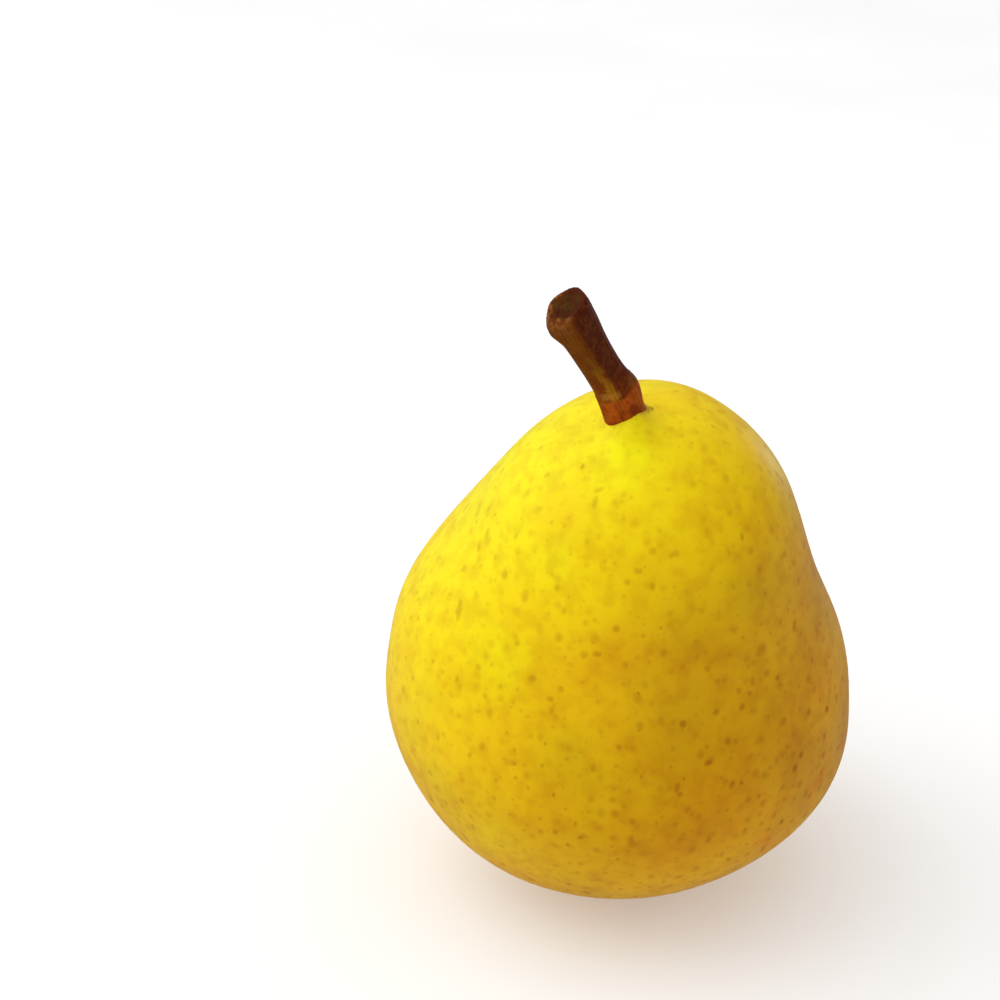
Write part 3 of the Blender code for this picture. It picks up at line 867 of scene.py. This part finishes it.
def bark_material(pores, blotches):
    """Bark with furrows and flecks, a painted highlight on the left by the lip, painted light and shade
    round the rim, and a cut end painted dark inside its rim.
    """
    material, nodes, shader, place = new_material("stem_bark")
    side, along, cut, fibre = (nodes.own(name) for name in ("side", "along", "cut", "fibre"))
    mottle = patches(nodes, blotches, place, *BARK_MOTTLE)
    speckle = patches(nodes, blotches, nodes.vector("ADD", place, SPECKLE_SHIFT), *BARK_SPECKLE)
    flecks = specks(nodes, pores, place, *BARK_FLECKS)
    base = bark_colour(nodes, along, side, mottle, speckle)
    base = nodes.mix(nodes.times(flecks, FLECK_SHARE), base, FLECK_SHADE)
    base = nodes.mix(nodes.times(fibre, FURROW_SHARE), base, FURROW_SHADE)
    left = nodes.between(side, *LEFT_SIDE)
    # Painted highlight on the left of the stem's top
    tip_highlight = nodes.times(nodes.between(along, *TIP_HIGHLIGHT_UP), left)
    tip_highlight = nodes.times(tip_highlight, nodes.times_plus(speckle, 1.0 - FAINTEST_TIP_HIGHLIGHT, FAINTEST_TIP_HIGHLIGHT))
    base = nodes.mix(nodes.times(tip_highlight, TIP_HIGHLIGHT_SHARE), base, TIP_HIGHLIGHT)
    # Rim of the cut end: painted highlight on its left, painted shade on its right
    rim = nodes.mix(left, SHADED_RIM, nodes.mix(speckle, *LIT_RIM))
    # The cut end is painted dark inside its rim
    wood = nodes.mix(nodes.between(cut, *WOOD_IN), rim, nodes.mix(mottle, *DARK_END_FACE))
    base = nodes.mix(nodes.between(cut, *RIM_IN), base, wood)
    grain = nodes.noise(place, *BARK_GRAIN)
    height = nodes.plus(nodes.times(grain, GRAIN_RISE), nodes.times(flecks, FLECK_RISE))
    bump = nodes.add("ShaderNodeBump", Strength=BARK_STRENGTH, Distance=BARK_DEPTH, Height=height)
    rough = nodes.times_plus(nodes.noise(place, BARK_NOISE, 3.0), BARK_UNEVENNESS, BARK_ROUGHNESS)
    nodes.fill(shader, Base_Color=base, Roughness=rough, Normal=bump.outputs["Normal"],
               Specular_IOR_Level=BARK_GLOSS, Specular_Tint=BARK_TINT)
    return material


def sepal_material(pores, blotches):
    material, nodes, shader, place = new_material("dried_sepal")
    mottle = patches(nodes, blotches, place, *SEPAL_MOTTLE)
    grit = specks(nodes, pores, place, *SEPAL_GRIT)
    grit = nodes.times(grit, GRIT_SHARE)
    base = nodes.mix(grit, nodes.mix(mottle, *DRY_SEPAL), DRY_GRIT)
    height = nodes.minus(nodes.noise(place, *SEPAL_GRAIN), grit)
    bump = nodes.add("ShaderNodeBump", Strength=SEPAL_STRENGTH, Distance=SEPAL_DEPTH, Height=height)
    rough = nodes.times_plus(mottle, SEPAL_UNEVENNESS, SEPAL_ROUGHNESS)
    nodes.fill(shader, Base_Color=base, Roughness=rough, Normal=bump.outputs["Normal"])
    return material


def floor_material(blotches):
    """Pale matt paper that glows a little, and shows brighter than the light that it gives back."""
    material, nodes, shader, place = new_material("pale_floor")
    cloud = patches(nodes, blotches, place, *FLOOR_CLOUD)
    path = nodes.add("ShaderNodeLightPath").outputs
    seen = nodes.mix(path["Is Diffuse Ray"], nodes.mix(cloud, *FLOOR_PAPER), FLOOR_BOUNCE)
    seen = nodes.mix(path["Is Glossy Ray"], seen, FLOOR_MIRRORED)
    nodes.fill(shader, Base_Color=seen, Roughness=nodes.times_plus(cloud, *FLOOR_ROUGHNESS),
               Emission_Color=(1.0, 1.0, 1.0, 1.0), Emission_Strength=FLOOR_GLOW)
    return material


def grow(thing, tree, name, **values):
    """Runs a geometry tree on an object and returns its result as a plain mesh object at the origin."""
    step = thing.modifiers.new(name, "NODES")
    step.node_group = tree
    for item in tree.interface.items_tree:
        key = item.name.replace(" ", "_")
        if item.in_out == "INPUT" and key in values:
            step[item.identifier] = values[key]
    bpy.context.view_layer.update()
    graph = bpy.context.evaluated_depsgraph_get()
    mesh = bpy.data.meshes.new_from_object(thing.evaluated_get(graph))
    mesh.name = name
    thing.modifiers.remove(step)
    return linked(name, mesh)


def stored(nodes, geometry, name, value, domain="POINT"):
    made = nodes.add("GeometryNodeStoreNamedAttribute", {"data_type": "FLOAT", "domain": domain},
                     Geometry=geometry, Name=name, Value=value)
    return made.outputs[0]


def read(nodes, name, kind="FLOAT"):
    return nodes.add("GeometryNodeInputNamedAttribute", {"data_type": kind}, Name=name).outputs["Attribute"]


def realized(nodes, instances):
    return nodes.add("GeometryNodeRealizeInstances", Geometry=instances).outputs[0]


def dressed(nodes, geometry, material):
    return nodes.add("GeometryNodeSetMaterial", Geometry=geometry, Material=material).outputs[0]


def skin_relief_tree():
    """Soft waves and ripples along the normals of a skin, which then lies flat where it rests."""
    tree, nodes, given, out = geometry_tree(
        "skin_relief", Inset=SKIN_INSET, Wave_Height=WAVE_HEIGHT, Wave_Size=WAVE_SIZE,
        Ripple_Height=RIPPLE_HEIGHT, Ripple_Size=RIPPLE_SIZE, Skin=None)
    place = nodes.add("GeometryNodeInputPosition").outputs[0]
    normal = nodes.add("GeometryNodeInputNormal").outputs[0]

    def uneven(size, height):
        noise = nodes.noise(place, nodes.over(1.0, given[size]), 1.0)
        return nodes.times(nodes.minus(noise, 0.5), given[height])

    lift = nodes.plus(uneven("Wave Size", "Wave Height"), uneven("Ripple Size", "Ripple Height"))
    offset = nodes.vector("SCALE", normal, scale=nodes.minus(lift, given["Inset"]))
    raised = nodes.add("GeometryNodeSetPosition", Geometry=given["Geometry"], Offset=offset)
    above = nodes.vector("MAXIMUM", nodes.add("GeometryNodeInputPosition").outputs[0], (-1.0, -1.0, 0.0))
    rested = nodes.add("GeometryNodeSetPosition", Geometry=raised.outputs[0], Position=above)
    nodes.feed(out["Geometry"], dressed(nodes, realized(nodes, rested.outputs[0]), given["Skin"]))
    return tree


def chance(nodes, low, high, seed):
    made = nodes.add("FunctionNodeRandomValue", {"data_type": "FLOAT"}, Seed=seed)
    made.inputs[2].default_value = low
    made.inputs[3].default_value = high
    return made.outputs[1]


def random_between(nodes, low, high, seed):
    """Chance value for each point, more often low than high."""
    shaped = nodes.math("POWER", chance(nodes, 0.0, 1.0, seed), RANDOM_BIAS)
    return nodes.plus(low, nodes.times(shaped, nodes.minus(high, low)))


def dome_instance(nodes):
    """Low round dome of radius 1 in the plane, with how high each of its points swells stored on it."""
    disc = nodes.add("GeometryNodeMeshCone", {"fill_type": "TRIANGLE_FAN"}, Vertices=PORE_SIDES,
                     Side_Segments=DOME_ROWS, Radius_Top=DOME_TOP, Radius_Bottom=1.0, Depth=0.01)
    flat = nodes.vector("MULTIPLY", nodes.add("GeometryNodeInputPosition").outputs[0], (1.0, 1.0, 0.0))
    swell = nodes.between(nodes.vector("LENGTH", flat), 1.0, DOME_TOP, smooth=False)
    return stored(nodes, disc.outputs["Mesh"], "swell", swell)


def settle_on_skin(nodes, domes, skin, rise, material):
    """Lays domes on the skin, each point as high over it as it swells, the rim just under it."""
    near = nodes.add("GeometryNodeProximity", {"target_element": "FACES"}, Geometry=skin)
    outwards = nodes.add("GeometryNodeSampleNearestSurface", {"data_type": "FLOAT_VECTOR"}, Mesh=skin,
                         Value=nodes.add("GeometryNodeInputNormal").outputs[0])
    swell = read(nodes, "swell")
    height = nodes.minus(nodes.times(swell, rise), PORE_SINK)
    over = nodes.vector("SCALE", outwards.outputs["Value"], scale=height)
    spot = nodes.vector("ADD", near.outputs["Position"], over)
    laid = nodes.add("GeometryNodeSetPosition", Geometry=realized(nodes, domes), Position=spot)
    corky = stored(nodes, laid.outputs[0], "cork", nodes.times(swell, read(nodes, "strength")))
    smooth = nodes.add("GeometryNodeSetShadeSmooth", Geometry=corky)
    return dressed(nodes, smooth.outputs[0], material)


def pore_tree():
    """Low corky domes all over a skin, none where it rests, and more low down than on the neck."""
    tree, nodes, given, out = geometry_tree(
        "raised_pores", Spacing=PORE_SPACING, Density=PORE_DENSITY, Smallest=PORE_SMALLEST,
        Largest=PORE_LARGEST, Rise=PORE_RISE, Lowest=PORE_LOWEST, Calyx_Clear=CALYX_CLEAR, Seed=PORE_SEED,
        Skin=None)
    spot = nodes.add("GeometryNodeInputPosition").outputs[0]
    height = nodes.split(spot)[2]
    from_calyx = nodes.vector("DISTANCE", spot, tuple(calyx_matrix().translation))
    clear = nodes.times(nodes.math("GREATER_THAN", height, given["Lowest"]),
                        nodes.math("GREATER_THAN", from_calyx, given["Calyx Clear"]))
    low_down = nodes.between(height, THINNEST_ABOVE, THICKEST_BELOW)
    thick = nodes.times_plus(low_down, 1.0 - THINNEST_SHARE, THINNEST_SHARE)
    scatter = nodes.add("GeometryNodeDistributePointsOnFaces", {"distribute_method": "POISSON"},
                        Mesh=given["Geometry"], Distance_Min=given["Spacing"], Density_Max=given["Density"],
                        Density_Factor=nodes.times(clear, thick), Seed=given["Seed"])
    size = random_between(nodes, given["Smallest"], given["Largest"], 3)
    stretch = nodes.times(size, random_between(nodes, 1.0, PORE_STRETCH, 21))
    scale = nodes.add("ShaderNodeCombineXYZ", X=size, Y=stretch, Z=size).outputs[0]
    spread = nodes.add("GeometryNodeInstanceOnPoints", Points=scatter.outputs["Points"],
                       Instance=dome_instance(nodes), Rotation=scatter.outputs["Rotation"], Scale=scale)
    strength = random_between(nodes, *PORE_STRENGTH, 8)
    domes = stored(nodes, spread.outputs[0], "strength", strength, "INSTANCE")
    laid = settle_on_skin(nodes, domes, given["Geometry"], given["Rise"], given["Skin"])
    nodes.feed(out["Geometry"], laid)
    return tree


def mark_tree(skin):
    """Marks laid on the skin at given points, each with its own length, width, turn and strength."""
    tree, nodes, given, out = geometry_tree("skin_marks", Rise=PORE_RISE, Skin=None)
    whole_skin = nodes.add("GeometryNodeObjectInfo", Object=skin).outputs["Geometry"]
    turn = read(nodes, "turn", "FLOAT_VECTOR")
    size = read(nodes, "size", "FLOAT_VECTOR")
    spread = nodes.add("GeometryNodeInstanceOnPoints", Points=given["Geometry"],
                       Instance=dome_instance(nodes), Rotation=turn, Scale=size)
    laid = settle_on_skin(nodes, spread.outputs[0], whole_skin, given["Rise"], given["Skin"])
    nodes.feed(out["Geometry"], laid)
    return tree


def make_marks(skin, material):
    """Points on the skin behind the marks' pixels, dressed as soft brown marks."""
    camera = bpy.context.scene.camera.matrix_world
    focal = PICTURE_SIDE * LENS / SENSOR
    tree = BVHTree.FromPolygons([v.co for v in skin.data.vertices], [p.vertices for p in skin.data.polygons])
    places, turns, sizes, strengths = [], [], [], []
    for (across, down), length, width, turn, strength in MARKS.values():
        ray = Vector((across - PICTURE_SIDE / 2, PICTURE_SIDE / 2 - down, -focal)).normalized()
        spot, normal, _, _ = tree.ray_cast(camera.translation, camera.to_3x3() @ ray)
        level = camera.to_3x3() @ Vector((math.cos(math.radians(turn)), math.sin(math.radians(turn)), 0.0))
        level = (level - normal * level.dot(normal)).normalized()
        axes = Matrix((level, normal.cross(level), normal)).transposed()
        places.append(spot)
        turns.append(axes.to_euler())
        sizes.append((length / 2 * MARK_SOFTNESS * MM, width / 2 * MARK_SOFTNESS * MM, MM))
        strengths.append(strength)
    points = mesh_object("mark_points", places, [])
    store(points, "turn", turns, "FLOAT_VECTOR", "vector")
    store(points, "size", sizes, "FLOAT_VECTOR", "vector")
    store(points, "strength", strengths)
    marks = grow(points, mark_tree(skin), "skin_marks", Skin=material)
    bpy.data.objects.remove(points, do_unlink=True)
    return marks


def make_skin(material):
    radius, height = smooth_outline(FRUIT_OUTLINE, SKIN_ROWS)
    turned = closed_turned("turned_skin", radius, height, SKIN_STEPS, grown_skin, pear_matrix())
    skin = grow(turned, skin_relief_tree(), "fruit_skin", Skin=material)
    bpy.data.objects.remove(turned, do_unlink=True)
    skin.data.shade_smooth()
    return skin


def bark_relief(x, y, z, skirt):
    """How far the bark stands out: ridges, fibres, the knob, the lumpy tip and the collar at the foot."""
    angle = np.arctan2(y, x)
    along = z / STEM_LENGTH
    above = np.clip(z / (2 * MM), 0.0, 1.0)
    ridges = STEM_RIDGE_HEIGHT * np.cos(STEM_RIDGES * angle + STEM_RIDGE_TWIST * along)
    knob = KNOB_PUSH * bell(z - KNOB_HEIGHT, KNOB_REACH) * bell(turn_between(angle, 0.0), KNOB_SPREAD)
    fibres = FIBRE_HEIGHT * fibre_wave(angle, along)
    edge = COLLAR_TOP * (1 + COLLAR_WAVE * np.sin(2 * angle + 0.8) + COLLAR_RIPPLE * np.sin(5 * angle))
    collar = COLLAR_PUSH * (0.5 - 0.5 * np.tanh((z - edge) / COLLAR_EDGE))
    lumps = np.sin(3 * angle + 1.1) * np.sin(0.9 * z / MM) + 0.7 * np.sin(5 * angle + 0.5 * z / MM)
    tip = TIP_LUMPS * np.clip((z - TIP_FROM) / (STEM_LENGTH - TIP_FROM), 0.0, 1.0)
    return above * (ridges + knob) + skirt * (fibres + collar) + tip * lumps


def fibre_wave(angle, along):
    """Fibres from -1 to 1 that wander round the stem and fade in and out up its length."""
    wander = 1.3 * np.sin(7 * along + 2 * np.cos(angle)) + 0.7 * np.sin(19 * along + 3 * angle)
    return np.sin(FIBRES * angle + wander) * (0.6 + 0.4 * np.sin(11 * along + 4 * np.cos(3 * angle)))


def stem_rows():
    """Height, radius, shift and place on the cut of each ring: up the side, over the lip, in the hollow."""
    stations = np.array(STEM_STATIONS)
    z = np.linspace(STEM_BOTTOM, STEM_LENGTH - LIP_RADIUS, STEM_ROWS)
    radius = spline(stations[:, 0], stations[:, 1], z / MM) * MM - STEM_SKIN
    shift = spline(stations[:, 0], stations[:, 2], z / MM) * MM
    rows = [(h, r, s, 0.0) for h, r, s in zip(z, radius, shift)]
    for i in range(1, LIP_ROWS + 1):
        bend = math.pi / 2 * i / LIP_ROWS
        up = LIP_RADIUS * (1 - math.sin(bend))
        inwards = LIP_RADIUS * (1 - math.cos(bend))
        rows.append((STEM_LENGTH - up, radius[-1] - inwards, shift[-1], LIP_CUT * i / LIP_ROWS))
    for i in range(1, END_ROWS):
        part = i / END_ROWS
        across = (radius[-1] - LIP_RADIUS) * (1 - part)
        inside = min(across / (STEM_HOLLOW_SHARE * radius[-1]), 1.0)
        fall = STEM_HOLLOW_DEPTH * (1 - inside ** 2) ** 1.5
        rows.append((STEM_LENGTH - fall, across, shift[-1], LIP_CUT + (1 - LIP_CUT) * part))
    return rows


def stem_ring(angle, height, r, s, cut):
    """Points of one ring, with the bark's relief, the slant of the cut and its torn wood."""
    x = r * np.cos(angle)
    y = r * np.sin(angle)
    h = np.full(STEM_SIDES, height)
    on_end = cut > LIP_CUT
    hold = np.clip(r / HOLD_RADIUS, 0.0, 1.0) if on_end else 1.0
    grown = 1 + bark_relief(x, y, h, 0.0 if on_end else 1.0) * hold / max(r, SMALLEST_RING)
    rough = end_roughness(x, y) * min(cut * 4, 1.0)
    slanting = np.clip((h - SLANT_FROM) / (STEM_LENGTH - SLANT_FROM), 0.0, 1.0)
    tilt = math.tan(STEM_CUT_SLANT) * (x * grown - s) * slanting
    return np.stack([x * grown - s, y * grown, h + tilt + rough], axis=1)


def make_stem(material):
    rows = stem_rows()
    angle = np.linspace(0.0, 2 * math.pi, STEM_SIDES, endpoint=False)
    ends = np.array([[-rows[i][2], 0.0, rows[i][0]] for i in (0, -1)])
    places = np.vstack([stem_ring(angle, *row) for row in rows] + [ends])
    cut = np.repeat([row[3] for row in rows], STEM_SIDES)
    stem = mesh_object("stem_wood", places, capped_faces(len(rows), STEM_SIDES))
    x, y, z = places.T
    around = np.arctan2(y, x)
    store(stem, "side", np.cos(around))
    store(stem, "along", z / STEM_LENGTH)
    store(stem, "cut", np.concatenate([cut, [0.0, 1.0]]))
    store(stem, "fibre", np.clip(-fibre_wave(around, z / STEM_LENGTH), 0.0, 1.0))
    stem.data.transform(stem_matrix())
    stem.data.materials.append(material)
    return stem


def end_roughness(x, y):
    """Torn wood of the cut end: an uneven rim, ring marks and short radial cracks."""
    r = np.hypot(x, y)
    a = np.arctan2(y, x)
    rings = RING_MARKS * np.sin(r / MM * 9.0)
    cracks = -CRACK_DEPTH * np.clip(np.sin(CRACKS * a + 2 * np.sin(2 * a)) - CRACK_GAP, 0.0, 1.0)
    torn = TORN_WOOD * np.sin(7 * a + r / MM * 3)
    lumps = np.sin(3 * a + 2.6) + 0.6 * np.sin(5 * a + 0.4)
    rim = RIM_LUMPS * lumps * np.clip(r / RIM_RADIUS, 0.0, 1.0) ** 2
    return (rings + cracks + torn) * MM + rim


def make_cup(material):
    points = np.array(CUP_OUTLINE)[::-1]
    length = lengths(points)
    places = np.linspace(0.0, length[-1], CUP_ROWS)
    radius = np.concatenate([[0.0], spline(length, points[:, 0], places) * MM])
    height = np.concatenate([[points[0, 1] * MM], spline(length, points[:, 1], places) * MM])
    radius[-1] = 0.0

    def wrinkle(spots):
        x, y, z = spots.T
        a = np.arctan2(y, x)
        fold = 1 + CUP_FOLDS * np.cos(SEPALS * a) + CUP_WRINKLES * np.sin(13 * a + 900 * z)
        return np.stack([x * fold, y * fold, z], axis=1)

    cup = closed_turned("calyx_cup", radius, height, CUP_STEPS, wrinkle, calyx_matrix())
    cup.data.materials.append(material)
    return cup


def sepal_point(across, along):
    width = SEPAL_WIDTH * (1 - along ** 1.5) + SEPAL_TIP_WIDTH * along
    width *= 1 + SEPAL_RAGGED * math.sin(17 * along) * along
    reach = SEPAL_LENGTH / SEPAL_CURL
    angle = SEPAL_RISE - SEPAL_CURL * along
    out = reach * (math.sin(SEPAL_RISE) - math.sin(angle))
    up = reach * (math.cos(angle) - math.cos(SEPAL_RISE))
    cupped = SEPAL_CUP * across ** 2 * (1 - 0.4 * along)
    rib = RIB_DEPTH * math.exp(-(across / RIB_WIDTH) ** 2)
    veins = VEIN_HEIGHT * math.sin(9 * across + 14 * along)
    return SEPAL_ROOT + Vector((out, across * width / 2, up + cupped - rib + veins))


def make_sepal_blade():
    places = []
    faces = []
    for i in range(SEPAL_ROWS):
        for j in range(SEPAL_COLUMNS):
            places.append(sepal_point(2 * j / (SEPAL_COLUMNS - 1) - 1, i / (SEPAL_ROWS - 1)))
    for i in range(SEPAL_ROWS - 1):
        for j in range(SEPAL_COLUMNS - 1):
            a = i * SEPAL_COLUMNS + j
            faces.append((a, a + SEPAL_COLUMNS, a + SEPAL_COLUMNS + 1, a + 1))
    blade = mesh_object("sepal_blade", [tuple(p) for p in places], faces)
    wall = blade.modifiers.new("thickness", "SOLIDIFY")
    wall.thickness = SEPAL_THICKNESS
    wall.offset = 0.0
    return blade


def make_stamen():
    """One dry stamen along +Z: a bent thread with a knob."""
    rows = len(STAMEN_WIDTHS)
    places = []
    for i, width in enumerate(STAMEN_WIDTHS):
        t = i / (rows - 1)
        r = STAMEN_THICKNESS * width
        for k in range(STAMEN_SIDES):
            a = 2 * math.pi * k / STAMEN_SIDES
            places.append((r * math.cos(a) + STAMEN_BEND * t * t, r * math.sin(a), STAMEN_LENGTH * t))
    faces = ring_faces(rows, STAMEN_SIDES)
    faces.append(tuple(range(STAMEN_SIDES))[::-1])
    faces.append(tuple(range((rows - 1) * STAMEN_SIDES, rows * STAMEN_SIDES)))
    return mesh_object("stamen", places, faces)


def ring_tree():
    """Copies of a piece in a ring round the calyx's axis, each turned, tilted and scaled by chance."""
    tree, nodes, given, out = geometry_tree(
        "ring_of_pieces", Count=SEPALS, Radius=0.0, Turn_Spread=0.1, Tilt_Spread=0.1, Size_Spread=0.1,
        Seed=1, Finish=None)
    line = nodes.add("GeometryNodeMeshLine", {"mode": "OFFSET"}, Count=given["Count"],
                     Offset=(0.0, 0.0, 0.0))
    index = nodes.add("GeometryNodeInputIndex").outputs[0]

    def wobble(extra, spread):
        return nodes.times(chance(nodes, -1.0, 1.0, nodes.plus(given["Seed"], extra)), given[spread])

    turn = nodes.over(nodes.times(index, 2 * math.pi), given["Count"])
    turn = nodes.plus(turn, wobble(0, "Turn Spread"))
    tilt = wobble(1, "Tilt Spread")
    size = nodes.plus(wobble(2, "Size Spread"), 1.0)
    spin = nodes.add("ShaderNodeCombineXYZ", X=0.0, Y=tilt, Z=turn).outputs[0]
    spot = nodes.add("ShaderNodeCombineXYZ", X=nodes.times(nodes.math("COSINE", turn), given["Radius"]),
                     Y=nodes.times(nodes.math("SINE", turn), given["Radius"]), Z=0.0).outputs[0]
    points = nodes.add("GeometryNodeSetPosition", Geometry=line.outputs[0], Position=spot)
    stand = nodes.add("GeometryNodeInstanceOnPoints", Points=points.outputs[0], Instance=given["Geometry"],
                      Rotation=spin, Scale=size)
    nodes.feed(out["Geometry"], dressed(nodes, realized(nodes, stand.outputs[0]), given["Finish"]))
    return tree


def make_calyx(material):
    ring = ring_tree()
    blade = make_sepal_blade()
    sepals = grow(blade, ring, "calyx_sepals", Count=SEPALS, Turn_Spread=0.12, Tilt_Spread=0.08,
                  Size_Spread=0.06, Seed=SEPAL_SEED, Finish=material)
    stamen = make_stamen()
    stamens = grow(stamen, ring, "calyx_stamens", Count=STAMENS, Radius=STAMEN_RING, Turn_Spread=0.2,
                   Tilt_Spread=0.3, Size_Spread=0.25, Seed=STAMEN_SEED, Finish=material)
    for helper in (blade, stamen):
        bpy.data.objects.remove(helper, do_unlink=True)
    for piece in (sepals, stamens):
        piece.data.transform(calyx_matrix())
        piece.data.shade_smooth()
    return [make_cup(material), sepals, stamens]


def square_light(name, place, size, power):
    """White square lamp that faces the middle of the pear."""
    lamp = bpy.data.lights.new(name, "AREA")
    lamp.size = size
    lamp.energy = power
    thing = linked(name, lamp)
    thing.location = place
    thing.rotation_euler = (Vector(PEAR_MIDDLE) - place).to_track_quat("-Z", "Y").to_euler()


def make_lights():
    """Big soft lamp from the upper left and a low one at the back right, in a room brighter on the left."""
    square_light("key", Vector(LIGHT_SIDE) * KEY_DISTANCE, KEY_SIZE, KEY_POWER)
    square_light("edge", EDGE_LAMP_PLACE, EDGE_LAMP_SIZE, EDGE_LAMP_POWER)
    world = bpy.data.worlds.new("studio")
    world.use_nodes = True
    nodes = Nodes(world.node_tree)
    direction = nodes.add("ShaderNodeTexCoord").outputs["Generated"]
    towards = nodes.vector("DOT_PRODUCT", direction, LIGHT_SIDE)
    mirrored = nodes.add("ShaderNodeLightPath").outputs["Is Glossy Ray"]
    shown = nodes.times_plus(mirrored, ROOM_MIRRORED - 1.0, 1.0)
    strength = nodes.times(nodes.times_plus(towards, ROOM_SLOPE, ROOM_LIGHT), shown)
    nodes.fill(world.node_tree.nodes["Background"], Color=(1.0, 1.0, 1.0, 1.0), Strength=strength)
    bpy.context.scene.world = world


def make_floor(blotches):
    bpy.ops.mesh.primitive_plane_add(size=FLOOR_SIDE)
    floor = bpy.context.object
    floor.name = "floor"
    floor.data.materials.append(floor_material(blotches))


def make_camera():
    data = bpy.data.cameras.new("camera")
    data.lens = LENS
    data.sensor_width = SENSOR
    data.clip_start = 0.01
    data.clip_end = 20.0
    camera = linked("camera", data)
    camera.location = CAMERA_PLACE
    camera.rotation_euler = (math.pi / 2 - CAMERA_DOWN, 0.0, 0.0)
    bpy.context.scene.camera = camera


def dress(piece, slot, *nodes):
    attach(piece, "root")
    if nodes:
        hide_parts(*nodes)


def main():
    make_camera()
    make_lights()
    pores = pore_group()
    blotches = blotch_group()
    make_floor(blotches)
    waxy = skin_material(pores, blotches)
    skin = make_skin(waxy)
    dots = grow(skin, pore_tree(), "skin_pores", Skin=waxy)
    marks = make_marks(skin, waxy)
    stem = make_stem(bark_material(pores, blotches))
    cup, sepals, stamens = make_calyx(sepal_material(pores, blotches))
    dress(skin, "skin", "fruit")
    dress(dots, "skin")
    dress(marks, "skin")
    dress(stem, "bark", "stem")
    dress(cup, "dry_sepal", "calyx")
    dress(sepals, "dry_sepal")
    dress(stamens, "dry_sepal")
    bpy.context.scene.view_settings.view_transform = "Standard"


main()
